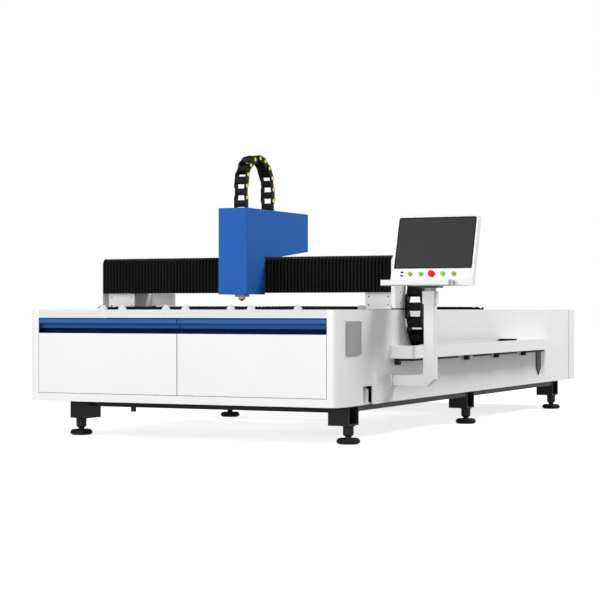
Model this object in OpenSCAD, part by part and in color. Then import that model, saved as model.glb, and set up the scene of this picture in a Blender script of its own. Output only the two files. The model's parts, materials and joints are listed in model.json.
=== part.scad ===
// Open flat-bed laser cutting machine for sheet metal: a long welded bed on levelling feet, a slat
// table, two slag drawers, a travelling gantry with a covered carriage and a swivelling console.
// Machine axes: X across the bed, Y from the drawer end to the back, Z up from the floor.

/* [Bed] */
// Width over the side skins
bed_w = 2300; // [2260:10:2400]
// Length over the end skins
bed_l = 5266; // [5200:2:5400]
// Height of the top edge above the floor
bed_top = 860; // [850:1:900]
// Height of the lower edge of the skins
skin_bottom = 245; // [240:1:260]
// Thickness of the skin sheets
skin_t = 4; // [3:0.5:5]
// Radius of the upright corners
corner_r = 60; // [40:5:80]
// Width of the folded top edge of a side skin
flange_w = 70; // [60:1:74]
// Length of the rear end cover
rear_cover_l = 231; // [180:1:300]

/* [Frame] */
// Gap between the two side beams
beam_gap = 1800; // [1780:5:1820]
// Depth of a side beam
beam_h = 280; // [240:5:300]
// Depth of the rail channel below the top edge
rail_drop = 60; // [56:1:64]
// Wall of the beams and tubes
tube_wall = 8; // [6:1:12]
// Number of cross beams
cross_count = 5; // [4:1:6]

/* [Feet] */
// Sideways offset of the base frame
base_off = 87; // [50:1:90]
// Distance of the bracket's outer face from the base frame's middle
bracket_out = 1040; // [1030:5:1050]
// Width of a leg bracket
bracket_w = 145; // [130:1:160]
// Length of a leg bracket
bracket_l = 160; // [140:5:180]
// Height of the underside of the brackets
bracket_z = 119; // [110:1:130]
// Diameter of a foot pad
pad_d = 153; // [120:1:180]
// Thickness of a foot pad
pad_h = 38; // [30:1:44]
// Diameter of the sleeve above a pad
sleeve_d = 70; // [60:1:80]

/* [Drawers] */
// Height of the drawer opening's lower edge
drawer_z = 298; // [292:1:304]
// Height of the drawer opening
drawer_h = 508; // [500:1:520]
// Width of the opening
drawer_span = 2140; // [2100:5:2170]
// Height of the blue grip band
grip_h = 104; // [90:1:120]
// Depth of the grip recess
grip_d = 40; // [30:1:50]
// Length of a slag tray
tray_l = 893; // [800:1:900]
// Clearance round a drawer front
drawer_gap = 3; // [2:0.5:5]

/* [Table] */
// Width of the slat table
slat_l = 1600; // [1500:10:1640]
// Distance between slats
slat_pitch = 100; // [80:5:120]
// Number of slats
slat_count = 34; // [20:1:34]
// Height of the slat tips above the bed's top edge
slat_rise = 24; // [16:1:26]
// Distance between teeth
tooth_pitch = 50; // [40:5:80]
// Depth of a tooth
tooth_d = 14; // [10:1:30]
// Diameter of a transfer ball
ball_d = 40; // [30:1:44]

/* [Cable chain beside the bed] */
// Inner width of the chain tray
ctray_w = 152; // [146:1:170]
// Bend radius of the chain at its pins
ychain_r = 310; // [300:1:320]
// Width of the chain
ychain_w = 126; // [110:1:136]
// Height of a chain link
ychain_h = 64; // [56:1:68]
// Height of the chain's lower run above the floor
ychain_z = 570; // [565:1:575]

/* [Gantry] */
// Distance of the gantry's front from the front of the bed at rest
gantry_back = 943; // [930:1:960]
// Height of the underside of the beam above the bed's top edge
gantry_rise = 118; // [115:1:135]
// Height of the bellows
bellows_h = 250; // [230:1:260]
// Thickness of the right end plate
end_t = 30; // [20:1:34]
// Thickness of the left end plate
end_thin = 8; // [6:1:20]
// Distance between bellows folds
fold_pitch = 26; // [20:1:34]
// Depth of a bellows fold
fold_d = 14; // [8:1:16]
// Width of the guide rails
rail_w = 34; // [28:1:40]

/* [Carriage] */
// Place of the carriage from the middle of the bed
car_x = 66; // [0:1:100]
// Width of the cover
cover_w = 216; // [200:1:240]
// Height of the cover's top above the bed's top edge
cover_rise = 696; // [680:2:720]
// Length of the cover in front of the bellows
cover_front = 283; // [270:1:300]
// Length of the cover's arm behind the bellows' front
cover_arm = 710; // [680:5:740]
// Height of the nozzle tip above the bed's top edge
nozzle_rise = 58; // [56:1:64]
// Bend radius of the cable chain on the cover
zchain_r = 207; // [195:1:215]
// Width of that chain
zchain_w = 90; // [76:1:100]
// Height of its links
zchain_h = 45; // [36:1:48]

/* [Console] */
// Distance of the console's post from the bed's side
post_off = 267; // [255:1:300]
// Side of the square post
post_w = 68; // [60:1:80]
// Width of the console housing
console_w = 574; // [560:1:600]
// Height of the console's underside
console_z = 1016; // [1000:2:1040]
// Slope of the screen from upright
tilt = 17; // [12:1:22]
// Thickness of the housing
console_t = 44; // [42:1:60]
// Width of the screen
screen_w = 538; // [500:1:544]
// Height of the screen
screen_h = 352; // [320:1:356]
// Distance between the push buttons
button_pitch = 76; // [70:1:84]
// Diameter of a push button
button_d = 28; // [22:1:30]
// Diameter of the stop button's mushroom
stop_d = 42; // [38:1:46]

/* [Hidden] */
$fn = 48;
gap = 0.3;
side_x = bed_w / 2;
rear_y = bed_l / 2;
front_y = -rear_y;
side_y0 = front_y + corner_r;
side_y1 = rear_y - rear_cover_l;
skin_h = bed_top - skin_bottom;
deck_fold = 60;

beam_in = beam_gap / 2;
beam_out = side_x - skin_t;
beam_z1 = bed_top - rail_drop;
beam_z0 = beam_z1 - beam_h;
beam_y0 = front_y + 633;
beam_y1 = rear_y - 73;

foot_y = [front_y + 293, front_y + 2513, front_y + 4703];
foot_in = 38;
bracket_t = 9;
brail_w = 65;
brail_h = 38;
brail_in = 5;
ctube_h = 91;
ctube_w = 60;
ctube_z = skin_bottom - 46;
post_x_w = 54;
post_y_w = 100;
stub_x = -500;
stub_d = 36;
stub_l = 31;
neck_d = 39;
sleeve_z = pad_h + 17;

wall = 3;
tray_x0 = 40;
tray_x1 = beam_in - 30;
tray_top = drawer_z + 392;
drail_z = ctube_z + ctube_h;
drail_h = 25;
dtray_z = drail_z + drail_h;
dtray_y0 = front_y + grip_d;
dtray_y1 = dtray_y0 + tray_l;
front_w = drawer_span / 2 - 2 * drawer_gap;
front_top = drawer_z + drawer_h - grip_h;
grip_lip = 36;
grip_step = 34;
grip_back = 26;

slat_t = 3;
slat_tip = bed_top + slat_rise;
slat_seat = slat_tip - 100;
slat_foot = 30;
slat_y0 = front_y + 453;
support_w = 40;
support_h = 62;
slat_y1 = slat_y0 + (slat_count - 1) * slat_pitch;
deck_x = beam_in - 20;
deck_y0 = slat_y1 + 80;
cross_z1 = slat_seat - support_h;
cross_h = 120;
cross_w = 100;
cross_y0 = front_y + 993;
cross_y1 = rear_y - 183;

rail_h = 30;
yrail_x = 1000;
yrail_y0 = front_y + 783;
yrail_l = 3650;
rack_w = 25;
rack_pitch = 20;
rack_tooth = 9;
rack_x = yrail_x - 75;
bear_w = 80;
bear_h = 46;
bear_top = beam_z1 + 62;

cup_d = ball_d + 12;
cup_h = 14;
ball_z = bed_top + 32 - ball_d / 2;
ball_y = front_y + 83;
ball_x0 = -608;
ball_pitch = 480;
ball_step = 146;
ball_count = 7;
ball_strip = 83;

ctray_t = 4;
ctray_x0 = side_x;
ctray_x1 = side_x + ctray_w + 2 * ctray_t;
ctray_z0 = ychain_z - ychain_h / 2 - gap - ctray_t;
ctray_z1 = ctray_z0 + 87;
ctray_y0 = front_y + 855;
ctray_y1 = ctray_y0 + 3480;
bar_t = 14;
bar_l = 430;
block_w = 35;
block_h = 46;
block_count = 5;
block_pitch = 685;
block_y0 = ctray_y0 + 75;
hang_w = 120;
hang_t = 8;
hang_h = 219;
hang_y = ctray_y0 + 3215;
chain_x0 = side_x + ctray_t + (ctray_w - ychain_w) / 2;
link_clear = 1;
ychain_n = 9;
ychain_pitch = 2 * ychain_r * sin(90 / ychain_n);
ybend_y = front_y + 1403;
ylower_n = 15;
anchor_l = 75;
anchor_y = ybend_y + ylower_n * ychain_pitch + ychain_h / 2 + link_clear;

gan_y = front_y + gantry_back;
gan_x0 = end_thin - side_x;
gan_x1 = side_x - end_t;
gan_z0 = bed_top + gantry_rise;
gan_z1 = gan_z0 + bellows_h;
bell_t = 28;
chamfer = 35;
xrail_t = 30;
beam_front = gan_y + bell_t + 5 + xrail_t;
beam_back = beam_front + 170;
gbeam_top = gan_z1 - bell_t - 9;
end_l = 190;
end_z = bed_top + 9;
toe_l = 95;
toe_h = 28;
toe_t = 6;
toe_root = 60;
ped_x0 = beam_in - 6;
ped_step = 24;
ped_x1 = side_x - 40;
ped_y0 = gan_y + 30;
ped_y1 = ped_y0 + 267;
ped_wall = 15;
motor_w = 116;
motor_y = ped_y1 + 72;
motor_x = ped_x0 + 70;
motor_plate = 18;
jbox_w = 180;
jbox_d = 30;
jbox_y = ped_y1 - 14;
jbox_clear = 4;
clamp_l = 130;

cover_t = 3;
cover_x0 = car_x - cover_w / 2;
cover_x1 = car_x + cover_w / 2;
cover_z0 = gan_z0 - 14;
cover_z1 = bed_top + cover_rise;
cover_y0 = gan_y - cover_front;
cover_y1 = gan_y + cover_arm;
arm_z0 = gan_z1 - 20;
arm_z1 = gan_z1 + 54;
plate_t = 20;
plate_y = gan_y - 10;
xrail_z = [gan_z0 + 50, gan_z0 + 150];
head_y = gan_y - 144;
act_w = 80;
act_d = 60;
slide_t = 29;
slide_y1 = plate_y - act_d - gap;
slide_y0 = slide_y1 - slide_t;
head_w = 72;
head_z0 = bed_top + nozzle_rise + 30;
head_top = cover_z1 - 226;
zbend_y = gan_y + 54;
zbend_z = cover_z1 + 157;
zchain_n = 8;
zleg_n = 3;
zchain_pitch = 2 * zchain_r * sin(90 / zchain_n);
guide_t = 4;

post_x = side_x + post_off;
post_y = front_y + 903;
arm_z = 355;
arm_flange = 12;
arm_rim = 14;
collar_w = post_w + 16;
collar_z = console_z - 118;
collar_h = 84;
sleeve_t = 3;
elbow_z = arm_z + 187;
elbow_x = side_x + 140;
elbow_out = 48;
elbow_in = 15;
spindle_r = 30;
spindle_fit = 0.05;
ledge_h = 39;
panel_y = post_y - 170;
panel_z = console_z + ledge_h;
panel_l = 448;
console_x0 = side_x + 50;
console_x1 = console_x0 + console_w;
console_r = 12;
foot_inset = 110;
foot_y1 = post_y + 40;
ledge_x0 = console_x0 - 29;
ledge_w = 473;
ledge_d = 100;
port_w = 20;
port_h = 8;
port_gap = 24;
port_x = console_x0 + 67;
screen_x0 = (console_x0 + console_x1 - screen_w) / 2;
screen_s = 80;
screen_r = 12;
screen_t = 5;
button_s = 40;
button_x0 = console_x0 + 134;
stem_r = 11;
stem_fit = 0.05;
stem_l = 30;
stem_room = 10;
button_travel = 5;

vent_y = front_y + 118;
vent_w = 214;
vent_z = bed_top - 286;
vent_h = 212;
vent_d = 14;
vent_lap = 12;
seam_y = 69;
seam_w = 3;
niche_y = front_y + 394;
niche_w = 175;
niche_h = 120;

frame_shift = (console_x1 - side_x) / 2;

// Moves the machine's middle to the middle of its overall box
module placed() {
    translate([-frame_shift, 0, 0]) children();
}

// A block between two corners
module block(low, high) {
    translate(low) cube(high - low);
}

// Its children on both sides of the bed
module both_sides() {
    children();
    mirror([1, 0, 0]) children();
}

// Draws a flat shape in the upright plane along Y and thickens it along X
module across(x0, thickness) {
    translate([x0, 0, 0]) rotate([90, 0, 90]) linear_extrude(thickness) children();
}

// Draws a flat shape in the upright plane along X and thickens it along Y
module along(y0, thickness) {
    translate([0, y0 + thickness, 0]) rotate([90, 0, 0]) linear_extrude(thickness) children();
}

// Plan of the bed with round corners, drawn in by an inset
module bed_plan(inset) {
    r = corner_r - inset;
    hx = side_x - corner_r;
    hy = rear_y - corner_r;
    square([2 * (side_x - inset), 2 * hy], center = true);
    square([2 * hx, 2 * (rear_y - inset)], center = true);
    for (sx = [-1, 1], sy = [-1, 1])
        translate([sx * hx, sy * hy]) circle(r);
}

// Upright skin round the whole bed
module skin_ring() {
    translate([0, 0, skin_bottom]) linear_extrude(skin_h) difference() {
        bed_plan(0);
        bed_plan(skin_t);
    }
}

// Folded top edge of an end of the bed, between two places along it
module end_top(y0, y1) {
    translate([0, 0, bed_top - skin_t]) linear_extrude(skin_t) intersection() {
        bed_plan(skin_t);
        translate([-side_x, y0]) square([bed_w, y1 - y0]);
    }
}

module side_beams() {
    color("gainsboro") both_sides() difference() {
        block([beam_in, beam_y0, beam_z0], [beam_out, beam_y1, beam_z1]);
        block([beam_in + tube_wall, beam_y0 - 1, beam_z0 + tube_wall],
            [beam_out - tube_wall, beam_y1 + 1, beam_z1 - tube_wall]);
    }
}

// Cross beams between the side beams, and the posts that stand on the base frame
module frame_members() {
    step = (cross_y1 - cross_y0) / (cross_count - 1);
    color("gainsboro") {
        for (i = [0 : cross_count - 1])
            translate([0, cross_y0 + i * step, cross_z1 - cross_h / 2]) difference() {
                cube([beam_gap, cross_w, cross_h], center = true);
                cube([beam_gap + 2, cross_w - 2 * tube_wall, cross_h - 2 * tube_wall], center = true);
            }
        for (s = [-1, 1], y = [beam_y0 + 110, foot_y[1], foot_y[2]])
            translate([base_off + s * (bracket_out - brail_in - brail_w / 2), y, skin_bottom])
                translate([-post_x_w / 2, -post_y_w / 2, 0])
                    cube([post_x_w, post_y_w, beam_z0 - skin_bottom]);
    }
}

// Long tubes of the base frame, between the leg brackets
module base_rails() {
    x0 = bracket_out - brail_in - brail_w;
    color("dimgray") for (s = [-1, 1], i = [0, 1]) {
        y0 = foot_y[i] + bracket_l / 2;
        y1 = foot_y[i + 1] - bracket_l / 2;
        translate([base_off, 0, 0]) mirror([(1 - s) / 2, 0, 0]) difference() {
            block([x0, y0, skin_bottom - brail_h], [x0 + brail_w, y1, skin_bottom]);
            block([x0 + tube_wall, y0 - 1, skin_bottom - brail_h + tube_wall],
                [x0 + brail_w - tube_wall, y1 + 1, skin_bottom - tube_wall]);
        }
    }
}

// Cross tubes of the base frame, the front one with its drain stub
module base_cross_tubes() {
    bracket_in = bracket_out - bracket_w;
    rail_in = bracket_out - brail_in - brail_w;
    color("dimgray") {
        difference() {
            union() {
                for (y = foot_y)
                    translate([base_off - bracket_in, y - ctube_w / 2, ctube_z])
                        cube([2 * bracket_in, ctube_w, ctube_h]);
                translate([base_off - rail_in, dtray_y1 - 80, ctube_z])
                    cube([2 * rail_in, ctube_w, ctube_h]);
            }
            for (y = concat(foot_y, [dtray_y1 - 80 + ctube_w / 2]))
                translate([base_off - rail_in - 1, y - ctube_w / 2 + tube_wall, ctube_z + tube_wall])
                    cube([2 * rail_in + 2, ctube_w - 2 * tube_wall, ctube_h - 2 * tube_wall]);
        }
        translate([stub_x, foot_y[0], ctube_z - stub_l]) cylinder(d = stub_d, h = stub_l + 1);
    }
}

// Folded box brackets over the feet, open on their outer side
module leg_brackets() {
    color("#262626") for (s = [0, 1], y = foot_y)
        translate([base_off, y, 0]) mirror([s, 0, 0]) difference() {
            block([bracket_out - bracket_w, -bracket_l / 2, bracket_z],
                [bracket_out, bracket_l / 2, skin_bottom]);
            block([bracket_out - bracket_w + bracket_t, bracket_t - bracket_l / 2, bracket_z + bracket_t],
                [bracket_out + 1, bracket_l / 2 - bracket_t, skin_bottom - bracket_t]);
        }
}

// Repeats its children at the six feet
module at_feet() {
    for (s = [-1, 1], y = foot_y)
        translate([base_off + s * (bracket_out - foot_in), y, 0]) children();
}

module foot_studs() {
    r = sleeve_d / 2;
    color("#202020") at_feet() rotate_extrude()
        polygon([[0, pad_h], [neck_d / 2, pad_h], [neck_d / 2, pad_h + 10], [r - 6, sleeve_z],
            [r, sleeve_z + 5], [r, bracket_z - 10], [r + 10, bracket_z], [0, bracket_z]]);
}

module foot_pads() {
    r = pad_d / 2;
    edge = pad_h / 2;
    color("#1c1c1c") at_feet() rotate_extrude()
        polygon([[0, 0], [r - 16, 0], [r, 10], [r, edge], [r - 4, pad_h - 8], [r - 14, pad_h],
            [0, pad_h]]);
}

// Front skin with its round corners, its folded top edge and the drawer opening
module front_fascia() {
    color("white") {
        difference() {
            intersection() {
                skin_ring();
                block([-side_x, front_y, skin_bottom], [side_x, side_y0, bed_top]);
            }
            block([-drawer_span / 2, front_y - 1, drawer_z],
                [drawer_span / 2, front_y + corner_r, drawer_z + drawer_h]);
        }
        difference() {
            union() {
                end_top(front_y, side_y0);
                block([flange_w - side_x, side_y0 - 1, bed_top - skin_t],
                    [side_x - flange_w, side_y0 + ball_strip, bed_top]);
            }
            at_balls() translate([0, 0, bed_top - skin_t - 1])
                cylinder(d = ball_d - 6, h = skin_t + 2);
        }
    }
}

// One side skin with its folded top edge
module side_sheet() {
    block([side_x - skin_t, side_y0, skin_bottom], [side_x, side_y1, bed_top]);
    block([side_x - flange_w, side_y0, bed_top - skin_t], [side_x - skin_t / 2, side_y1, bed_top]);
}

module side_skin_left() {
    color("white") mirror([1, 0, 0]) side_sheet();
}

// Right skin with the vent opening and the notch for the air filter
module side_skin_right() {
    color("white") difference() {
        side_sheet();
        block([side_x - 2 * skin_t, vent_y + vent_lap, vent_z + vent_lap],
            [side_x + 1, vent_y + vent_w - vent_lap, vent_z + vent_h - vent_lap]);
        block([side_x - 2 * skin_t, niche_y, skin_bottom - 1],
            [side_x + 1, niche_y + niche_w, skin_bottom + niche_h]);
        block([side_x - skin_t / 2, seam_y, skin_bottom - 1],
            [side_x + 1, seam_y + seam_w, ctray_z0 - block_h - 1]);
    }
}

// Rear end skin with the deck that closes the bed behind the slat table
module rear_cover() {
    color("white") {
        intersection() {
            skin_ring();
            block([-side_x, side_y1, skin_bottom], [side_x, rear_y, bed_top]);
        }
        end_top(side_y1, rear_y);
        block([-deck_x, deck_y0, bed_top - skin_t], [deck_x, side_y1 + 1, bed_top]);
        block([-deck_x, deck_y0, bed_top - deck_fold], [deck_x, deck_y0 + skin_t, bed_top]);
    }
}

// Flat bars under the slag trays
module drawer_rails() {
    color("silver") both_sides() for (x = [tray_x0 + 60, tray_x1 - 110])
        block([x, dtray_y0 + 10, drail_z], [x + 60, dtray_y1, dtray_z]);
}

module slat_supports() {
    y0 = slat_y0 - 20;
    y1 = slat_y1 + 20;
    color("dimgray") both_sides()
        block([slat_l / 2 - support_w, y0, cross_z1], [slat_l / 2, y1, slat_seat]);
}

// Outline of one slat: a toothed top, and ends cut to sit on the supports. Every second slat starts
// with a tip, so that the teeth of neighbours are staggered.
function slat_outline(tip_first) =
    let (n = floor(slat_l / tooth_pitch), x0 = -slat_l / 2, step = slat_l / (2 * n), cut = support_w + 2)
    concat(
        [[x0, slat_seat]],
        [for (i = [0 : 2 * n])
            [x0 + i * step, (i % 2 == 0) == tip_first ? slat_tip : slat_tip - tooth_d]],
        [[-x0, slat_seat], [-x0 - cut, slat_seat], [-x0 - cut, slat_seat - slat_foot],
            [x0 + cut, slat_seat - slat_foot], [x0 + cut, slat_seat]]);

module slats() {
    color("#2e2e2e") for (i = [0 : slat_count - 1])
        along(slat_y0 + i * slat_pitch, slat_t) polygon(slat_outline(i % 2 == 1));
}

module y_rails() {
    color("silver") both_sides()
        block([yrail_x - rail_w / 2, yrail_y0, beam_z1],
            [yrail_x + rail_w / 2, yrail_y0 + yrail_l, beam_z1 + rail_h]);
}

// Toothed racks beside the rails; the teeth face the rail
module y_racks() {
    n = floor(yrail_l / rack_pitch);
    tip = rack_x + rack_w;
    root = tip - rack_tooth;
    end_y = yrail_y0 + n * rack_pitch;
    flank = [[root, 0], [tip, 0.2], [tip, 0.5], [root, 0.7]];
    teeth = [for (i = [0 : n - 1], p = flank) [p[0], yrail_y0 + (i + p[1]) * rack_pitch]];
    color("gray") both_sides() translate([0, 0, beam_z1]) linear_extrude(rack_w)
        polygon(concat([[rack_x, yrail_y0]], teeth, [[root, end_y], [rack_x, end_y]]));
}

// Repeats its children at the ball transfers behind the front edge, which stand in pairs
module at_balls() {
    for (i = [0 : ball_count - 1])
        translate([ball_x0 + floor(i / 2) * ball_pitch + (i % 2) * ball_step, ball_y, 0]) children();
}

module ball_cups() {
    color("silver") at_balls() difference() {
        translate([0, 0, bed_top]) cylinder(d = cup_d, h = cup_h);
        translate([0, 0, ball_z]) sphere(d = ball_d + 2 * gap);
    }
}

module transfer_balls() {
    color("whitesmoke") at_balls() translate([0, 0, ball_z]) sphere(d = ball_d);
}

// Channel that carries the long cable chain, closed at its front end and open at the back
module chain_tray() {
    color("white") difference() {
        block([ctray_x0, ctray_y0, ctray_z0], [ctray_x1, ctray_y1, ctray_z1]);
        block([ctray_x0 + ctray_t, ctray_y0 + ctray_t, ctray_z0 + ctray_t],
            [ctray_x1 - ctray_t, ctray_y1 + 1, ctray_z1 + 1]);
    }
}

// Bars with a fixing block each under the tray, and the pointed hanger near its end
module tray_brackets() {
    hang_tip = ctray_z0 - hang_h;
    hang_edge = hang_tip + hang_w / 2;
    color("#1a1a1a") {
        for (i = [0 : block_count - 1]) translate([side_x, block_y0 + i * block_pitch, ctray_z0]) {
            translate([0, 0, -block_h]) cube([block_w, block_w, block_h]);
            translate([0, 0, -bar_t]) cube([block_w, block_w + bar_l, bar_t]);
        }
        across(side_x, hang_t) polygon([[hang_y, ctray_z0], [hang_y, hang_edge],
            [hang_y + hang_w / 2, hang_tip], [hang_y + hang_w, hang_edge], [hang_y + hang_w, ctray_z0]]);
    }
}

// A bar with round ends from one pin to the next, along its own X
module link_bar(pitch, h) {
    translate([0, -h / 2]) square([pitch, h]);
    circle(d = h);
    translate([pitch, 0]) circle(d = h);
}

// One link of a cable chain: two side bars and the cross pieces between them, which stay clear of the
// round ends of its neighbours. Every second link lies inside its neighbours. It runs along its own X,
// and its width is along Z.
module chain_link(pitch, h, w, inner) {
    t = w / 16;
    r = h / 2;
    edge = inner ? t + gap : 0;
    rung_t = h / 6;
    rung_l = pitch - 2 * (sqrt(r * r - (r - rung_t) * (r - rung_t)) + link_clear);
    for (z = [edge, w - edge - t])
        translate([0, 0, z]) linear_extrude(t) difference() {
            link_bar(pitch, h);
            if (inner) for (x = [0, pitch])
                translate([x, 0]) circle(d = h / 3 + 2 * gap);
        }
    for (s = [-1, 1])
        translate([(pitch - rung_l) / 2, s * (h - rung_t) / 2 - rung_t / 2, edge + t / 2])
            cube([rung_l, rung_t, w - 2 * edge - t]);
}

// Short pins that hold two links together: fast in the outer bars and proud of them, loose in the inner ones
module chain_pins(h, w) {
    t = w / 16;
    proud = 2;
    for (z = [-proud, w - 2 * t - gap])
        translate([0, 0, z]) cylinder(d = h / 3, h = 2 * t + gap + proud);
}

// Pins of a half turn and two straight legs: each entry is a place and the heading of the next link
function turn_path(r, n, legs_in, legs_out) =
    let (pitch = 2 * r * sin(90 / n))
    concat(
        [for (i = [0 : 1 : legs_in - 1]) [[(i - legs_in) * pitch, -r], 0]],
        [for (i = [0 : n - 1]) [[r * sin(180 * i / n), -r * cos(180 * i / n)], 180 * (i + 0.5) / n]],
        [for (i = [0 : 1 : legs_out - 1]) [[-i * pitch, r], 180]]);

// Links along such a path, with pins at the inner joints; first counts the links that come before
module chain_on_path(path, pitch, h, w, first = 0) {
    for (i = [0 : len(path) - 1])
        translate(path[i][0]) rotate(path[i][1]) chain_link(pitch, h, w, (i + first) % 2 == 1);
    for (i = [1 : len(path) - 1])
        translate(path[i][0]) chain_pins(h, w);
}

// Straight lower run of the chain beside the bed, lying in its tray after the links of the turn
module y_chain_lower() {
    path = [for (i = [0 : ylower_n - 1]) [[i * ychain_pitch, 0], 0]];
    color("#161616") translate([chain_x0, ybend_y, ychain_z]) rotate([90, 0, 90])
        chain_on_path(path, ychain_pitch, ychain_h, ychain_w, ychain_n);
}

module y_chain_anchor() {
    color("#161616") block([chain_x0, anchor_y, ctray_z0 + ctray_t],
        [chain_x0 + ychain_w, anchor_y + anchor_l, ctray_z1 + 12]);
}

// Half turn of the chain beside the bed; it opens to the back
module y_chain_loop() {
    color("#161616") translate([chain_x0, ybend_y, ychain_z + ychain_r]) rotate([90, 0, 90])
        mirror([1, 0, 0]) mirror([0, 1, 0])
            chain_on_path(turn_path(ychain_r, ychain_n, 0, 0), ychain_pitch, ychain_h, ychain_w);
}

// Shallow hood over the vent opening of the right skin, open below
module vent_grille() {
    color("gray") difference() {
        block([side_x, vent_y, vent_z], [side_x + vent_d, vent_y + vent_w, vent_z + vent_h]);
        block([side_x - 1, vent_y + wall, vent_z - 1],
            [side_x + vent_d - wall, vent_y + vent_w - wall, vent_z + vent_h - wall]);
    }
}

// Air filter unit with two bowls on its foot plate, standing on the base frame in the notch
module air_filter() {
    foot_t = 12;
    x = beam_out - 50;
    color("whitesmoke") {
        block([x - 60, niche_y + 12, skin_bottom],
            [beam_out - 8, niche_y + niche_w - 10, skin_bottom + foot_t]);
        translate([x, niche_y + 37, skin_bottom]) cylinder(r = 13, h = niche_h - 20);
        translate([x, niche_y + 115, skin_bottom]) cylinder(r = 38, h = niche_h - 20);
        translate([x, niche_y + 115, skin_bottom]) cylinder(r = 26, h = niche_h - 8);
        translate([x - 10, niche_y + 37, skin_bottom + 60]) cube([20, 60, 20]);
    }
}

// Half-round upright cover beside the notch, with its fixing plate
module corner_cover() {
    r = 58;
    y = niche_y + 182;
    rise = 20;
    color("white") {
        intersection() {
            translate([side_x - r + rise, y, skin_bottom]) cylinder(r = r, h = 196);
            block([side_x, y - r, skin_bottom], [side_x + r, y + r, skin_bottom + 200]);
        }
        block([side_x, y, skin_bottom], [side_x + 12, y + 129, skin_bottom + 111]);
    }
}

// Fixed arm of the console: flange, tubes, chamfered elbow and the collar with the swivel bore
module console_arm() {
    h = post_w / 2;
    e = sleeve_t;
    low = arm_z - e;
    high = arm_z + post_w + e;
    left = post_x - h - e;
    right = post_x + h + e;
    color("white") difference() {
        union() {
            block([side_x, post_y - h - arm_rim, arm_z - arm_rim / 2],
                [side_x + arm_flange, post_y + h + arm_rim, arm_z + post_w + arm_rim / 2]);
            block([side_x + 1, post_y - h, arm_z], [elbow_x + 1, post_y + h, arm_z + post_w]);
            along(post_y - h - e, post_w + 2 * e) polygon([[elbow_x, low], [right - elbow_out, low],
                [right, low + elbow_out], [right, elbow_z], [left, elbow_z], [left, high + elbow_in],
                [left - elbow_in, high], [elbow_x, high]]);
            block([post_x - h, post_y - h, elbow_z - 1], [post_x + h, post_y + h, collar_z + 1]);
            block([post_x - collar_w / 2, post_y - collar_w / 2, collar_z],
                [post_x + collar_w / 2, post_y + collar_w / 2, collar_z + collar_h]);
        }
        translate([post_x, post_y, collar_z + 8]) cylinder(r = spindle_r + spindle_fit, h = collar_h);
    }
}

// Slag tray: an open sheet box
module drawer_tray() {
    color("silver") difference() {
        block([tray_x0, dtray_y0, dtray_z], [tray_x1, dtray_y1, tray_top]);
        block([tray_x0 + wall, dtray_y0 + wall, dtray_z + wall],
            [tray_x1 - wall, dtray_y1 - wall, tray_top + 1]);
    }
}

// Drawer front: a folded pan, open to the back, with two stiffeners that are screwed to the tray
module drawer_front() {
    y1 = front_y + grip_d;
    z0 = drawer_z + drawer_gap;
    color("white") {
        difference() {
            block([drawer_gap, front_y, z0], [drawer_gap + front_w, y1, front_top]);
            block([drawer_gap + wall, front_y + wall, z0 + wall],
                [drawer_gap + front_w - wall, y1 + 1, front_top - wall]);
        }
        for (x = [tray_x0 + 160, tray_x1 - 200])
            block([x, front_y + 1, z0 + 1], [x + 40, y1, front_top - 1]);
    }
}

// Grip band on top of a drawer front: a lip with a stepped finger recess under it, closed at its outer end
module drawer_grip() {
    z1 = drawer_z + drawer_h - drawer_gap;
    d1 = front_y + grip_d;
    d2 = d1 + grip_back;
    lip_z = drawer_z + drawer_h - grip_lip;
    color("#2f63b5") {
        across(drawer_gap, front_w) polygon([[front_y, z1], [front_y, lip_z], [d1, lip_z],
            [d1, front_top + grip_step], [d2, front_top + grip_step], [d2, front_top + wall],
            [front_y, front_top + wall], [front_y, front_top], [d2 + wall, front_top], [d2 + wall, z1]]);
        block([drawer_gap + front_w - wall, front_y, front_top], [drawer_gap + front_w, d2 + 1, z1]);
    }
}

module gantry_beam() {
    color("gainsboro") difference() {
        block([gan_x0, beam_front, gan_z0], [gan_x1, beam_back, gbeam_top]);
        block([gan_x0 - 1, beam_front + tube_wall, gan_z0 + tube_wall],
            [gan_x1 + 1, beam_back - tube_wall, gbeam_top - tube_wall]);
    }
}

// End plates of the gantry, a thin one on the left, each with a pointed scraper on its left face
module end_plates() {
    bolt_y = gan_y + end_l / 2;
    bolt_d = 14;
    bolt_sink = 6;
    outline = [[gan_y, end_z], [gan_y, gan_z1 - chamfer], [gan_y + chamfer, gan_z1],
        [gan_y + end_l, gan_z1], [gan_y + end_l, end_z]];
    scraper = [[gan_y - toe_l, end_z], [gan_y, end_z + toe_h], [gan_y + toe_root, end_z + toe_h],
        [gan_y + toe_root, end_z]];
    color("white") {
        across(-side_x, end_thin) polygon(outline);
        difference() {
            across(gan_x1, end_t) polygon(outline);
            for (z = [end_z + 32, end_z + 108])
                translate([side_x - bolt_sink, bolt_y, z]) rotate([0, 90, 0])
                    cylinder(d = bolt_d, h = bolt_sink + 1, $fn = 24);
        }
        across(-side_x, toe_t) polygon(scraper);
        across(gan_x1 - toe_t, toe_t + 1) polygon(scraper);
    }
}

// Hollow pedestals under the ends of the beam, with the seats of the drive motors behind
module pedestal(x0) {
    difference() {
        block([x0, ped_y0, bear_top], [ped_x1, ped_y1, gan_z0]);
        block([x0 + ped_wall, ped_y0 + ped_wall, bear_top + ped_wall],
            [ped_x1 - ped_wall, ped_y1 + 1, gan_z0 - ped_wall]);
        for (x = [x0 + 25, ped_x1 - 25], z = [bear_top + 30, gan_z0 - 30])
            translate([x, ped_y0 + 5, z]) rotate([90, 0, 0]) cylinder(d = 10, h = 6, $fn = 24);
    }
    block([motor_x - motor_w / 2, ped_y1 - 1, bear_top],
        [motor_x + motor_w / 2, motor_y + motor_w / 2, bear_top + motor_plate]);
}

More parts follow.
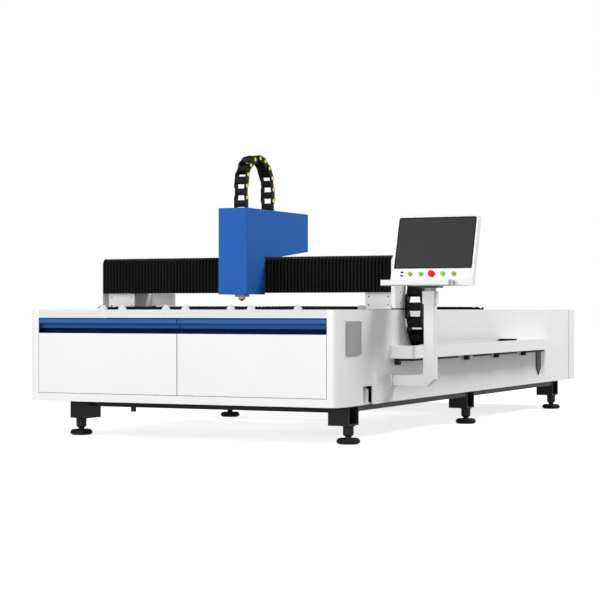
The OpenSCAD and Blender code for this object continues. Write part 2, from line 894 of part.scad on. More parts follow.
module pedestals() {
    color("gainsboro") {
        pedestal(ped_x0 + ped_step);
        mirror([1, 0, 0]) pedestal(ped_x0);
    }
}

// Bearing blocks that ride on the long rails
module y_bearings() {
    color("dimgray") both_sides() for (y = [ped_y0 + 5, ped_y1 - 105]) difference() {
        block([yrail_x - bear_w / 2, y, bear_top - bear_h], [yrail_x + bear_w / 2, y + 100, bear_top]);
        block([yrail_x - rail_w / 2 - gap, y - 1, bear_top - bear_h - 1],
            [yrail_x + rail_w / 2 + gap, y + 101, beam_z1 + rail_h + gap]);
    }
}

// Servo motors with their gear heads, upright behind the pedestals
module y_motors() {
    z0 = bear_top + motor_plate;
    gear_h = 90;
    body_h = 150;
    color("#222222") both_sides() translate([motor_x, motor_y, z0]) {
        cylinder(d = 96, h = gear_h);
        translate([-motor_w / 2, -motor_w / 2, gear_h]) cube([motor_w, motor_w, body_h]);
        translate([0, 0, gear_h + body_h]) cylinder(d = 90, h = 30);
    }
}

// Flat closed junction box on the inner side of the left pedestal
module junction_box() {
    color("gainsboro") block([-ped_x0, jbox_y, slat_tip + jbox_clear],
        [jbox_w - ped_x0, jbox_y + jbox_d, gan_z0]);
}

// Profile points of a bellows at one fold: front, chamfer and top, drawn in by the fold's depth
function bellows_ring(x, d) =
    let (y = gan_y + d, z = gan_z1 - d, c = chamfer, yi = gan_y + bell_t, zi = gan_z1 - bell_t)
    [[x, y, gan_z0], [x, y, z - c], [x, y + c, z], [x, beam_back, z],
        [x, beam_back, zi], [x, yi + c, zi], [x, yi, zi - c], [x, yi, gan_z0]];

// A pleated cover between two places along the beam
module bellows(x0, x1) {
    n = round((x1 - x0) / fold_pitch);
    step = (x1 - x0) / (2 * n);
    rings = [for (i = [0 : 2 * n]) bellows_ring(x0 + i * step, i % 2 == 0 ? 0 : fold_d)];
    k = len(rings[0]);
    sides = [for (i = [0 : 2 * n - 1], j = [0 : k - 1])
        [i * k + j, i * k + (j + 1) % k, (i + 1) * k + (j + 1) % k, (i + 1) * k + j]];
    first = [for (j = [k - 1 : -1 : 0]) j];
    last = [for (j = [0 : k - 1]) 2 * n * k + j];
    polyhedron([for (ring = rings) each ring], concat(sides, [first, last]));
}

module bellows_left() {
    color("#141414") bellows(gan_x0, cover_x0 - gap);
}

module bellows_right() {
    color("#141414") bellows(cover_x1 + gap, gan_x1);
}

module x_rails() {
    color("silver") for (z = xrail_z)
        block([gan_x0, beam_front - xrail_t, z - rail_w / 2], [gan_x1, beam_front, z + rail_w / 2]);
}

// Bracket and clamp that hold the moving end of the long cable chain
module chain_clamp() {
    z = ychain_z + 2 * ychain_r;
    half = ychain_h / 2 + 10;
    y0 = ybend_y + ychain_h / 2 + link_clear;
    color("#1a1a1a") {
        block([side_x, gan_y + end_l - 60, z - half], [side_x + 10, y0 + clamp_l, z + half]);
        block([side_x + 9, y0, z - half], [ctray_x1, y0 + clamp_l, z + half]);
    }
}

module carriage_plate() {
    color("gray") block([cover_x0 + cover_t, plate_y, gan_z0 + 5],
        [cover_x1 - cover_t, plate_y + plate_t, arm_z0 - 4]);
}

// Bearing blocks of the carriage on the two rails of the beam
module x_bearings() {
    y0 = plate_y + plate_t;
    y1 = beam_front - 5;
    color("dimgray") for (z = xrail_z, x = [cover_x0 + 10, cover_x1 - 80]) difference() {
        block([x, y0, z - 35], [x + 70, y1, z + 35]);
        block([x - 1, beam_front - xrail_t - gap, z - rail_w / 2 - gap],
            [x + 71, y1 + 1, z + rail_w / 2 + gap]);
    }
}

// Side outline of the blue cover, drawn in by a wall; the inner one runs past the open sides
function cover_outline(t) =
    let (past = t > 0 ? 1 : 0)
    [[cover_y0 + t, cover_z0 - past], [cover_y0 + t, cover_z1 - t], [cover_y1 - t, cover_z1 - t],
        [cover_y1 - t, arm_z1 + t], [gan_y, arm_z0 + t], [gan_y + past, cover_z0 - past]];

// Sheet cover of the carriage: a column open below and behind, with a long arm over the beam
module head_cover() {
    slot = zchain_h + 8;
    color("#2f63b5") difference() {
        across(cover_x0, cover_w) polygon(cover_outline(0));
        across(cover_x0 + cover_t, cover_w - 2 * cover_t) polygon(cover_outline(cover_t));
        for (s = [-1, 1])
            translate([car_x - zchain_w / 2 - 4, zbend_y + s * zchain_r - slot / 2, cover_z1 - 10])
                cube([zchain_w + 8, slot, 20]);
    }
}

// Upright drive of the cutting head: guide, screw housing and motor
module z_actuator() {
    y0 = plate_y - act_d;
    z0 = gan_z0 + 15;
    z1 = head_top + 90;
    color("dimgray") {
        block([car_x - act_w / 2, y0, z0], [car_x + act_w / 2, plate_y, z1]);
        translate([car_x, plate_y - 40, z1]) cylinder(d = 66, h = 90);
    }
}

// Channel under the cover's top that guides the fixed leg of the chain
module z_chain_guide() {
    y = zbend_y + zchain_r;
    x0 = car_x - zchain_w / 2 - 2 - gap;
    x1 = car_x + zchain_w / 2 + 2 + gap;
    y1 = y + zchain_h / 2 + gap;
    z0 = cover_z1 - cover_t - 200;
    z1 = cover_z1 - cover_t;
    color("silver") {
        block([x0 - guide_t, y1, z0], [x1 + guide_t, y1 + guide_t, z1]);
        for (x = [x0 - guide_t, x1])
            block([x, y - zchain_h / 2, z0], [x + guide_t, y1 + 1, z1]);
    }
}

module head_slide() {
    color("gray") block([car_x - act_w / 2, slide_y0, gan_z0 + 25],
        [car_x + act_w / 2, slide_y1, head_top - 30]);
}

// Cutting head: focusing block, collimator and fibre socket
module laser_head() {
    block_top = cover_z0 + 130;
    color("gray") {
        block([car_x - head_w / 2, head_y - head_w / 2, head_z0],
            [car_x + head_w / 2, slide_y0, block_top]);
        translate([car_x, head_y, block_top]) cylinder(d = 66, h = 110);
        translate([car_x, head_y, block_top + 110]) cylinder(d = 58, h = head_top - block_top - 150);
        translate([car_x, head_y, head_top - 41]) cylinder(d = 40, h = 41);
    }
}

// Sensor bulb and cutting nozzle
module nozzle() {
    tip = bed_top + nozzle_rise;
    color("darkgray") translate([car_x, head_y, 0]) rotate_extrude()
        polygon([[0, tip], [4, tip], [8, tip + 7], [13, tip + 8], [21, tip + 13], [25, tip + 21],
            [25, head_z0], [0, head_z0]]);
}

// Cable chain that arches over the cover; its legs run down into the cover
module z_chain() {
    color("#161616") translate([car_x - zchain_w / 2, zbend_y, zbend_z]) rotate([90, 0, 90]) rotate(90)
        chain_on_path(turn_path(zchain_r, zchain_n, zleg_n, zleg_n), zchain_pitch, zchain_h, zchain_w);
}

// Sets its children on the sloping face: X across, Y up the slope and Z out of the face
module on_panel() {
    translate([0, panel_y, panel_z]) rotate([90 - tilt, 0, 0]) children();
}

// A flat plate with round corners
module round_plate(w, h, r) {
    translate([r, 0]) square([w - 2 * r, h]);
    translate([0, r]) square([w, h - 2 * r]);
    for (x = [r, w - r], y = [r, h - r])
        translate([x, y]) circle(r);
}

// Centre of a push button on the sloping face
function button_at(i) = [button_x0 + i * button_pitch, button_s, 0];

// Housing: the sloping panel with round upper corners, the strip under it, the foot that carries it
// and the ledge in front
module console_housing() {
    color("white") difference() {
        union() {
            on_panel() translate([console_x0, 0, -console_t]) linear_extrude(console_t) {
                round_plate(console_w, panel_l, console_r);
                square([console_w, panel_l / 2]);
            }
            block([console_x0, panel_y, console_z], [console_x1, panel_y + console_t, panel_z]);
            across(console_x0 + foot_inset, console_w - 2 * foot_inset) polygon([[panel_y + 10, console_z],
                [panel_y + 10, panel_z + 20], [panel_y + 100, panel_z + 50], [foot_y1, panel_z + 25],
                [foot_y1, console_z]]);
            block([ledge_x0, panel_y - ledge_d, console_z], [ledge_x0 + ledge_w, panel_y + 1, panel_z]);
        }
        on_panel() {
            translate([screen_x0, screen_s, -screen_t]) linear_extrude(screen_t + 1)
                round_plate(screen_w, screen_h, screen_r);
            for (i = [0 : 4])
                translate(button_at(i)) translate([0, 0, -stem_l - stem_room])
                    cylinder(r = stem_r + stem_fit, h = stem_l + stem_room + 1);
            for (s = [-1, 1])
                translate([port_x, button_s + (s * port_gap - port_h) / 2, -port_h])
                    cube([port_w, port_h, port_h + 1]);
        }
    }
}

// Swivel spindle with its collar and the plate under the console
module console_neck() {
    z0 = collar_z + collar_h + gap;
    color("#3a3a3a") translate([post_x, post_y, 0]) {
        translate([0, 0, collar_z + 14]) cylinder(r = spindle_r, h = z0 - collar_z - 13);
        translate([0, 0, z0]) cylinder(r = 38, h = console_z - 12 - z0);
        translate([-75, -60, console_z - 12]) cube([150, 100, 12]);
    }
}

module screen() {
    color("#404040") on_panel() translate([screen_x0, screen_s, -screen_t])
        linear_extrude(screen_t) round_plate(screen_w, screen_h, screen_r);
}

// A push button: a domed cap on a stem that slides in the housing
module push_button(d, cap_h) {
    translate([0, 0, -stem_l]) cylinder(r = stem_r, h = stem_l + button_travel + 1);
    translate([0, 0, button_travel]) rotate_extrude()
        polygon([[0, 0], [d / 2, 0], [d / 2, cap_h * 0.6], [d * 0.42, cap_h * 0.88],
            [d * 0.25, cap_h], [0, cap_h]]);
}

module green_button(i) {
    color("yellowgreen") on_panel() translate(button_at(i)) push_button(button_d, 9);
}

module button_1() green_button(0);
module button_2() green_button(1);
module button_3() green_button(3);
module button_4() green_button(4);

// Mushroom stop button
module stop_button() {
    color("red") on_panel() translate(button_at(2)) push_button(stop_d, 22);
}

placed() side_beams();
placed() frame_members();
placed() base_rails();
placed() base_cross_tubes();
placed() leg_brackets();
placed() foot_studs();
placed() foot_pads();
placed() front_fascia();
placed() side_skin_left();
placed() side_skin_right();
placed() rear_cover();
placed() drawer_rails();
placed() slat_supports();
placed() slats();
placed() y_rails();
placed() y_racks();
placed() ball_cups();
placed() transfer_balls();
placed() chain_tray();
placed() tray_brackets();
placed() y_chain_lower();
placed() y_chain_anchor();
placed() vent_grille();
placed() air_filter();
placed() corner_cover();
placed() console_arm();
placed() mirror([1, 0, 0]) drawer_tray();  // drawer_tray_left
placed() mirror([1, 0, 0]) drawer_front();  // drawer_front_left
placed() mirror([1, 0, 0]) drawer_grip();  // drawer_grip_left
placed() drawer_tray();  // drawer_tray_right
placed() drawer_front();  // drawer_front_right
placed() drawer_grip();  // drawer_grip_right
placed() gantry_beam();
placed() end_plates();
placed() pedestals();
placed() y_bearings();
placed() y_motors();
placed() junction_box();
placed() bellows_left();
placed() bellows_right();
placed() x_rails();
placed() chain_clamp();
placed() y_chain_loop();
placed() carriage_plate();
placed() x_bearings();
placed() head_cover();
placed() z_actuator();
placed() z_chain_guide();
placed() head_slide();
placed() laser_head();
placed() nozzle();
placed() z_chain();
placed() console_housing();
placed() console_neck();
placed() screen();
placed() button_1();
placed() button_2();
placed() button_3();
placed() button_4();
placed() stop_button();
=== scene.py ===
"""Looks of an open flat-bed laser cutting machine for sheet metal, built round its CAD frame.

All sizes are in metres, in the frame's own axes: X across the bed, Y to the back, Z up from the floor.
"""

import json
import math

import bmesh
import bpy
from mathutils import Matrix, Vector


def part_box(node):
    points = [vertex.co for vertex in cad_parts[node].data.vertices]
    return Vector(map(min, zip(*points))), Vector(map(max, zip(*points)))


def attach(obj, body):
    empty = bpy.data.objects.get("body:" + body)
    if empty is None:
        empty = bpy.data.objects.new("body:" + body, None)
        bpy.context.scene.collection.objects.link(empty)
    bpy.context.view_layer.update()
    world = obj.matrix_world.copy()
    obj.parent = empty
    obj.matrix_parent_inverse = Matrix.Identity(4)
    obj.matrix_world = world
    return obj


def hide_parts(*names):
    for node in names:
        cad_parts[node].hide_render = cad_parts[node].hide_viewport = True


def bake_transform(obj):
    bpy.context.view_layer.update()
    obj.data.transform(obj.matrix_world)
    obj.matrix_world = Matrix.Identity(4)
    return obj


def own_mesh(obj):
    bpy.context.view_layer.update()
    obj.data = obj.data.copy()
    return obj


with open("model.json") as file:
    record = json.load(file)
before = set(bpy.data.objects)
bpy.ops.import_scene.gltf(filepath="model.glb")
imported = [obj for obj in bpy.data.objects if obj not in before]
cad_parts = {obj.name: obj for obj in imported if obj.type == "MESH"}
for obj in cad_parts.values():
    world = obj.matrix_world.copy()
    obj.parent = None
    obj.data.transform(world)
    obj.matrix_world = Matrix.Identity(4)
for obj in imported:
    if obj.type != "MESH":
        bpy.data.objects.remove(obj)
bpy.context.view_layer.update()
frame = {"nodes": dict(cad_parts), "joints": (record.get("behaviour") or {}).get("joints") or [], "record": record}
NODES = frame["nodes"]

X_AXIS = Vector((1, 0, 0))
Y_AXIS = Vector((0, 1, 0))


# Camera and stage

VIEW_AZIMUTH = math.radians(25.14)
CAMERA_AT = Vector((5.2155, -12.5254, 0.86))
IMAGE_PX = 600
FOCAL_PX = 1736.5
HORIZON_DROP_PX = 9.6
SENSOR_MM = 36.0


def make_camera():
    """Level camera at the height of the bed's top, with the horizon shifted in the picture."""
    data = bpy.data.cameras.new("camera")
    data.sensor_width = SENSOR_MM
    data.lens = SENSOR_MM * FOCAL_PX / IMAGE_PX
    data.shift_y = HORIZON_DROP_PX / IMAGE_PX
    camera = bpy.data.objects.new("camera", data)
    camera.location = CAMERA_AT
    camera.rotation_euler = (math.pi / 2, 0, VIEW_AZIMUTH)
    bpy.context.scene.collection.objects.link(camera)
    bpy.context.scene.camera = camera


def seen_rays(tree):
    """A factor that is 1 for rays that show the background: direct, or by way of gloss or glass."""
    path = tree.nodes.new("ShaderNodeLightPath")
    total = path.outputs["Is Camera Ray"]
    for name in ("Is Glossy Ray", "Is Transmission Ray"):
        most = tree.nodes.new("ShaderNodeMath")
        most.operation = "MAXIMUM"
        tree.links.new(total, most.inputs[0])
        tree.links.new(path.outputs[name], most.inputs[1])
        total = most.outputs[0]
    return total


WORLD_LIGHT = 0.5
FLOOR_GLOW = 0.76
FLOOR_SEEN = 0.55
FLOOR_BOUNCE = 0.18
FLOOR_HALF = 60.0


def make_world():
    """White backdrop to the eye, and an even light of its own strength on the machine."""
    world = bpy.data.worlds.new("studio")
    world.use_nodes = True
    bpy.context.scene.world = world
    tree = world.node_tree
    tree.nodes.clear()
    light = tree.nodes.new("ShaderNodeBackground")
    light.inputs["Strength"].default_value = WORLD_LIGHT
    seen = tree.nodes.new("ShaderNodeBackground")
    mix = tree.nodes.new("ShaderNodeMixShader")
    out = tree.nodes.new("ShaderNodeOutputWorld")
    for ground in (light, seen):
        ground.inputs["Color"].default_value = (1, 1, 1, 1)
    tree.links.new(seen_rays(tree), mix.inputs[0])
    tree.links.new(light.outputs[0], mix.inputs[1])
    tree.links.new(seen.outputs[0], mix.inputs[2])
    tree.links.new(mix.outputs[0], out.inputs["Surface"])


def floor_material():
    """Pale floor: white to the eye with the machine's shadow on it, and a calm bounce to the machine."""
    material = bpy.data.materials.new("floor")
    material.use_nodes = True
    tree = material.node_tree
    tree.nodes.clear()
    glow = tree.nodes.new("ShaderNodeEmission")
    glow.inputs["Strength"].default_value = FLOOR_GLOW
    lit = tree.nodes.new("ShaderNodeBsdfDiffuse")
    lit.inputs["Color"].default_value = (FLOOR_SEEN, FLOOR_SEEN, FLOOR_SEEN, 1)
    seen = tree.nodes.new("ShaderNodeAddShader")
    bounce = tree.nodes.new("ShaderNodeBsdfDiffuse")
    bounce.inputs["Color"].default_value = (FLOOR_BOUNCE, FLOOR_BOUNCE, FLOOR_BOUNCE, 1)
    mix = tree.nodes.new("ShaderNodeMixShader")
    out = tree.nodes.new("ShaderNodeOutputMaterial")
    tree.links.new(glow.outputs[0], seen.inputs[0])
    tree.links.new(lit.outputs[0], seen.inputs[1])
    tree.links.new(seen_rays(tree), mix.inputs[0])
    tree.links.new(bounce.outputs[0], mix.inputs[1])
    tree.links.new(seen.outputs[0], mix.inputs[2])
    tree.links.new(mix.outputs[0], out.inputs["Surface"])
    return material


def make_floor():
    mesh = bpy.data.meshes.new("floor")
    corners = [(x * FLOOR_HALF, y * FLOOR_HALF, 0) for x, y in ((-1, -1), (1, -1), (1, 1), (-1, 1))]
    mesh.from_pydata(corners, [], [(0, 1, 2, 3)])
    mesh.materials.append(floor_material())
    floor = bpy.data.objects.new("floor", mesh)
    bpy.context.scene.collection.objects.link(floor)


# Each light's name, place, target, size and power in watts
LIGHTS = (
    ("key", (-4.5, -9.0, 6.0), (0, -1.5, 0.7), 5.0, 400),
    ("front_fill", (1.4, -12.0, 1.5), (0, -1.5, 0.7), 3.0, 395),
    ("side_fill", (8.5, 3.0, 9.5), (0.8, 0.6, 0.5), 5.0, 1095),
)


def make_lights():
    for name, at, target, size, watts in LIGHTS:
        data = bpy.data.lights.new(name, "AREA")
        data.shape = "SQUARE"
        data.size = size
        data.energy = watts
        light = bpy.data.objects.new(name, data)
        light.location = at
        light.rotation_mode = "QUATERNION"
        light.rotation_quaternion = (Vector(target) - Vector(at)).to_track_quat("-Z", "Y")
        bpy.context.scene.collection.objects.link(light)


# Material helpers

# Most values of a noise lie between these
NOISE_LOW = 0.3
NOISE_HIGH = 0.7


def shader(name, color, roughness, metallic=0.0, specular=0.5):
    """A new material with one main shader; returns the material, its tree and the shader."""
    material = bpy.data.materials.new(name)
    material.use_nodes = True
    tree = material.node_tree
    main = tree.nodes["Principled BSDF"]
    main.inputs["Base Color"].default_value = (*color, 1)
    main.inputs["Roughness"].default_value = roughness
    main.inputs["Metallic"].default_value = metallic
    main.inputs["Specular IOR Level"].default_value = specular
    return material, tree, main


def place(tree):
    """The point on the piece, in metres."""
    found = tree.nodes.get("place")
    if found is None:
        found = tree.nodes.new("ShaderNodeTexCoord")
        found.name = "place"
    return found.outputs["Object"]


def axis_value(tree, axis):
    """One coordinate of the point on the piece."""
    split = tree.nodes.get("split")
    if split is None:
        split = tree.nodes.new("ShaderNodeSeparateXYZ")
        split.name = "split"
        tree.links.new(place(tree), split.inputs[0])
    return split.outputs[axis]


def speckle(tree, scale, detail=2.0, stretch=(1, 1, 1)):
    """Soft noise with about that many spots to the metre, drawn out by stretch."""
    mapping = tree.nodes.new("ShaderNodeMapping")
    mapping.inputs["Scale"].default_value = [scale / s for s in stretch]
    tree.links.new(place(tree), mapping.inputs["Vector"])
    noise = tree.nodes.new("ShaderNodeTexNoise")
    noise.inputs["Scale"].default_value = 1.0
    noise.inputs["Detail"].default_value = detail
    tree.links.new(mapping.outputs[0], noise.inputs["Vector"])
    return noise.outputs["Fac"]


def remap(tree, value, low, high, to_low=0.0, to_high=1.0):
    """A value carried from one range to another, and kept within that."""
    node = tree.nodes.new("ShaderNodeMapRange")
    tree.links.new(value, node.inputs["Value"])
    for socket, number in zip(("From Min", "From Max", "To Min", "To Max"), (low, high, to_low, to_high)):
        node.inputs[socket].default_value = number
    return node.outputs["Result"]


def clouds(tree, scale, detail=3.0):
    """Soft noise spread over the whole range from 0 to 1."""
    return remap(tree, speckle(tree, scale, detail), NOISE_LOW, NOISE_HIGH)


def past(tree, axis, limit, way):
    """A mask that rises from 0 to 1 within a short way past a limit; a negative way leads downwards."""
    return remap(tree, axis_value(tree, axis), limit, limit + way)


def product(tree, first, second):
    node = tree.nodes.new("ShaderNodeMath")
    node.operation = "MULTIPLY"
    tree.links.new(first, node.inputs[0])
    tree.links.new(second, node.inputs[1])
    return node.outputs[0]


def blend_colors(tree, factor, first, second):
    """A colour between two, each a colour or another socket."""
    mix = tree.nodes.new("ShaderNodeMix")
    mix.data_type = "RGBA"
    tree.links.new(factor, mix.inputs["Factor"])
    for socket, value in ((mix.inputs[6], first), (mix.inputs[7], second)):
        if isinstance(value, tuple):
            socket.default_value = (*value, 1)
        else:
            tree.links.new(value, socket)
    return mix.outputs[2]


def paint(tree, main, color):
    tree.links.new(color, main.inputs["Base Color"])


def paint_over(tree, main, mask, color):
    """Covers what is painted so far with a colour, where the mask is 1."""
    plain = main.inputs["Base Color"].links[0].from_socket
    paint(tree, main, blend_colors(tree, mask, plain, color))


def gloss(tree, main, value, low, high):
    """Roughness that wanders between two values with a noise."""
    tree.links.new(remap(tree, value, NOISE_LOW, NOISE_HIGH, low, high), main.inputs["Roughness"])


def relief(tree, main, height, depth, edge=0.0):
    """Bumps of that depth, with edges rounded by that radius."""
    bump = tree.nodes.new("ShaderNodeBump")
    bump.inputs["Distance"].default_value = depth
    tree.links.new(height, bump.inputs["Height"])
    if edge:
        soft = tree.nodes.new("ShaderNodeBevel")
        soft.samples = 4
        soft.inputs["Radius"].default_value = edge
        tree.links.new(soft.outputs[0], bump.inputs["Normal"])
    tree.links.new(bump.outputs[0], main.inputs["Normal"])


def crevices(tree, reach):
    """A factor that falls from 1 towards 0 in corners and gaps."""
    node = tree.nodes.new("ShaderNodeAmbientOcclusion")
    node.samples = 6
    node.inputs["Distance"].default_value = reach
    return node.outputs["AO"]


def tone(color, factor):
    return tuple(c * factor for c in color)


def powder_coat(name, color, roughness=0.42, grain=700, edge=0.0025, specular=0.5):
    """Sprayed and baked paint: a fine orange peel, painted shade in the corners, soft edges."""
    material, tree, main = shader(name, color, roughness, specular=specular)
    base = blend_colors(tree, clouds(tree, 2.2), tone(color, 0.975), color)
    # Painted shade: the colour darkens towards 72 percent in corners and gaps, where shade falls.
    shaded = remap(tree, crevices(tree, 0.03), 0.0, 0.8)
    paint(tree, main, blend_colors(tree, shaded, tone(color, 0.72), base))
    gloss(tree, main, speckle(tree, 35), roughness - 0.05, roughness + 0.06)
    relief(tree, main, speckle(tree, grain, detail=1.0), 0.00006, edge)
    return material, tree, main


def brushed(name, color, roughness, stretch, edge=0.001, metallic=1.0):
    """Rolled or ground steel: long fine scratches along the grain, and faint clouds."""
    material, tree, main = shader(name, color, roughness, metallic)
    lines = speckle(tree, 900, stretch=stretch)
    paint(tree, main, blend_colors(tree, clouds(tree, 9), tone(color, 0.8), color))
    gloss(tree, main, lines, roughness - 0.1, roughness + 0.1)
    relief(tree, main, lines, 0.00003, edge)
    return material, tree, main


def moulded(name, color, roughness, grain=900, depth=0.00005, specular=0.5):
    """Injection-moulded plastic or rubber with a fine spark-eroded grain and slightly soft edges."""
    material, tree, main = shader(name, color, roughness, specular=specular)
    paint(tree, main, blend_colors(tree, clouds(tree, 14, detail=2.0), tone(color, 0.86), color))
    gloss(tree, main, speckle(tree, 60), roughness - 0.06, roughness + 0.08)
    relief(tree, main, speckle(tree, grain, detail=1.0), depth, 0.0008)
    return material


# Materials

WHITE = (0.86, 0.86, 0.855)
OFF_WHITE = (0.73, 0.725, 0.74)
BLUE = (0.028, 0.128, 0.46)
GRIP_BLUE = (0.038, 0.122, 0.37)
# Painted shade for the step at the bottom of the grip's recess
STEP_SHADE_NAVY = (0.002, 0.012, 0.058)
COPPER = (0.32, 0.035, 0.02)
BLACK = (0.006, 0.006, 0.006)


def white_paint():
    return powder_coat("white_paint", WHITE)[0]


def front_paint():
    """White front with the off-white rail above the drawers."""
    material, tree, main = powder_coat("front_paint", WHITE)
    soft = 0.003
    gap = 0.004
    depth = 0.001
    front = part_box("front_fascia")[0].y
    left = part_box("drawer_grip_left")[0].x
    right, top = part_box("drawer_grip_right")[1].xz
    edges = (("X", left - soft, soft), ("X", right + soft, -soft), ("Y", front + soft, depth - soft))
    mask = past(tree, "Z", top + gap, soft)
    for axis, limit, way in edges:
        mask = product(tree, mask, past(tree, axis, limit, way))
    paint_over(tree, main, mask, OFF_WHITE)
    return material


def frame_paint():
    return powder_coat("frame_paint", (0.66, 0.66, 0.655), roughness=0.48, grain=500)[0]


def blue_paint():
    return powder_coat("blue_paint", BLUE, roughness=0.5, grain=800, specular=0.03)[0]


def grip_paint():
    """Blue grip band with a painted shadow line along its top, and navy painted shade on the step at the bottom of
    its recess.
    """
    material, tree, main = powder_coat("grip_paint", GRIP_BLUE, roughness=0.5, grain=800, specular=0.03)
    low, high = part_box("drawer_grip_right")
    shadow_line_h = 0.0075
    shaded_step_h = 0.036
    # Painted shadow: the top of the band is darker, where the rail shades it.
    paint_over(tree, main, past(tree, "Z", high.z - shadow_line_h, 0.0015), tone(GRIP_BLUE, 0.45))
    # Painted shade: navy on the step at the bottom of the recess.
    paint_over(tree, main, past(tree, "Z", low.z + shaded_step_h, -0.003), STEP_SHADE_NAVY)
    return material


def dark_paint():
    color = (0.011, 0.011, 0.0115)
    return powder_coat("dark_paint", color, roughness=0.5, grain=380, edge=0.0015, specular=0.18)[0]


def grey_paint():
    return powder_coat("grey_paint", (0.29, 0.29, 0.292), roughness=0.5, grain=600, edge=0.001)[0]


def neck_paint():
    """Grey spindle under a black plate."""
    material, tree, main = powder_coat("neck_paint", (0.55, 0.55, 0.545), roughness=0.4)
    plate_t = 0.0125
    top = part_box("console_neck")[1].z
    paint_over(tree, main, past(tree, "Z", top - plate_t, 0.001), BLACK)
    return material


def bare_steel():
    return brushed("bare_steel", (0.52, 0.52, 0.53), roughness=0.38, stretch=(1, 40, 1))[0]


def rail_steel():
    return brushed("rail_steel", (0.58, 0.58, 0.6), roughness=0.24, stretch=(30, 30, 1))[0]


def slat_steel():
    """Black mill scale, with greyer spots where it has flaked."""
    dark = (0.0035, 0.0035, 0.0036)
    pale = (0.008, 0.008, 0.0082)
    bare = (0.017, 0.016, 0.015)
    material, tree, main = shader("slat_steel", (0.006, 0.006, 0.0062), 0.6, metallic=0.1, specular=0.07)
    scale = speckle(tree, 60, detail=4.0)
    flaked = remap(tree, speckle(tree, 24, detail=4.0), 0.58, 0.72)
    base = blend_colors(tree, remap(tree, scale, 0.35, 0.65), dark, pale)
    paint(tree, main, blend_colors(tree, flaked, base, bare))
    gloss(tree, main, scale, 0.5, 0.75)
    relief(tree, main, scale, 0.0003)
    return material


def head_metal():
    return brushed("head_metal", (0.52, 0.52, 0.525), roughness=0.42, stretch=(1, 1, 12), metallic=0.4)[0]


def nozzle_metal():
    """Pale ceramic-coated bulb with a copper tip."""
    pale = (0.80, 0.79, 0.77)
    material, tree, main = brushed("nozzle_metal", pale, 0.34, (20, 20, 1), edge=0.0006, metallic=0.1)
    tip_h = 0.0145
    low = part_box("nozzle")[0].z
    paint_over(tree, main, past(tree, "Z", low + tip_h, -0.002), COPPER)
    return material


def ball_nylon():
    return moulded("ball_nylon", (0.62, 0.62, 0.62), 0.42, grain=500, depth=0.00002, specular=0.3)


def bowl_plastic():
    return moulded("bowl_plastic", (0.80, 0.80, 0.79), 0.3)


def pad_rubber():
    return moulded("pad_rubber", (0.01, 0.01, 0.01), 0.72, grain=420, depth=0.0002, specular=0.15)


def chain_plastic():
    return moulded("chain_plastic", (0.005, 0.005, 0.0048), 0.5, grain=650, depth=0.00008, specular=0.09)


def pin_plastic():
    return moulded("pin_plastic", (0.93, 0.78, 0.07), 0.4)


def green_plastic():
    return moulded("green_plastic", (0.27, 0.55, 0.035), 0.3, specular=0.3)


def red_plastic():
    return moulded("red_plastic", (0.84, 0.010, 0.012), 0.36, specular=0.08)


def border_black():
    return moulded("border_black", (0.004, 0.004, 0.004), 0.35, specular=0.1)


def bellows_fabric():
    """Coated cloth: a fine weave under a dull black coat, with painted shade that turns it blackest in the folds.
    """
    fold_shade = (0.0005, 0.0005, 0.0005)
    dark = (0.0084, 0.0084, 0.0085)
    pale = (0.0114, 0.0114, 0.0115)
    material, tree, main = shader("bellows_fabric", BLACK, 0.62, specular=0.07)
    wave = tree.nodes.new("ShaderNodeTexWave")
    wave.bands_direction = "Z"
    wave.inputs["Scale"].default_value = 260
    tree.links.new(place(tree), wave.inputs["Vector"])
    weave = product(tree, wave.outputs["Fac"], speckle(tree, 800, detail=1.0))
    coat = blend_colors(tree, clouds(tree, 5), dark, pale)
    # Painted shade: near black in the folds, where shade falls.
    open_air = remap(tree, crevices(tree, 0.02), 0.4, 0.95)
    paint(tree, main, blend_colors(tree, open_air, fold_shade, coat))
    gloss(tree, main, speckle(tree, 30), 0.55, 0.7)
    relief(tree, main, weave, 0.00012)
    return material


def screen_glass():
    """Dark panel behind an anti-glare front."""
    dark = (0.035, 0.035, 0.035)
    pale = (0.038, 0.038, 0.038)
    material, tree, main = shader("screen_glass", (0.036, 0.036, 0.036), 0.5, specular=0.1)
    fine = speckle(tree, 1600, detail=1.0)
    paint(tree, main, blend_colors(tree, clouds(tree, 3.0, detail=1.0), dark, pale))
    gloss(tree, main, fine, 0.48, 0.56)
    relief(tree, main, fine, 0.00002)
    return material


MAKERS = (
    white_paint, front_paint, frame_paint, blue_paint, grip_paint, dark_paint, grey_paint, neck_paint,
    bare_steel, rail_steel, slat_steel, head_metal, nozzle_metal, ball_nylon, bowl_plastic, pad_rubber,
    chain_plastic, pin_plastic, green_plastic, red_plastic, border_black, bellows_fabric, screen_glass,
)
MATERIALS = {make.__name__: make() for make in MAKERS}
OWN_MATERIAL = {
    "front_fascia": "front_paint",
    "drawer_grip_left": "grip_paint",
    "drawer_grip_right": "grip_paint",
    "console_neck": "neck_paint",
    "junction_box": "white_paint",
    "ball_cups": "frame_paint",
}


def dress_nodes():
    """Each CAD node takes the material of its slot, or its own."""
    for row in frame["record"]["subparts"]:
        node = NODES[row["node"]]
        wanted = OWN_MATERIAL.get(row["node"], row["material_slot"])
        node.data.materials.clear()
        node.data.materials.append(MATERIALS[wanted])


# Mesh helpers

SMOOTH_ANGLE = math.radians(38)
WELD = 1e-6


def finish_piece(bm, name, material):
    """Turns a mesh into an object with its material, smooth where its faces meet at a small angle."""
    bmesh.ops.recalc_face_normals(bm, faces=bm.faces)
    mesh = bpy.data.meshes.new(name)
    bm.to_mesh(mesh)
    bm.free()
    for face in mesh.polygons:
        face.use_smooth = True
    mesh.set_sharp_from_angle(angle=SMOOTH_ANGLE)
    mesh.materials.append(MATERIALS[material])
    piece = bpy.data.objects.new(name, mesh)
    bpy.context.scene.collection.objects.link(piece)
    return piece


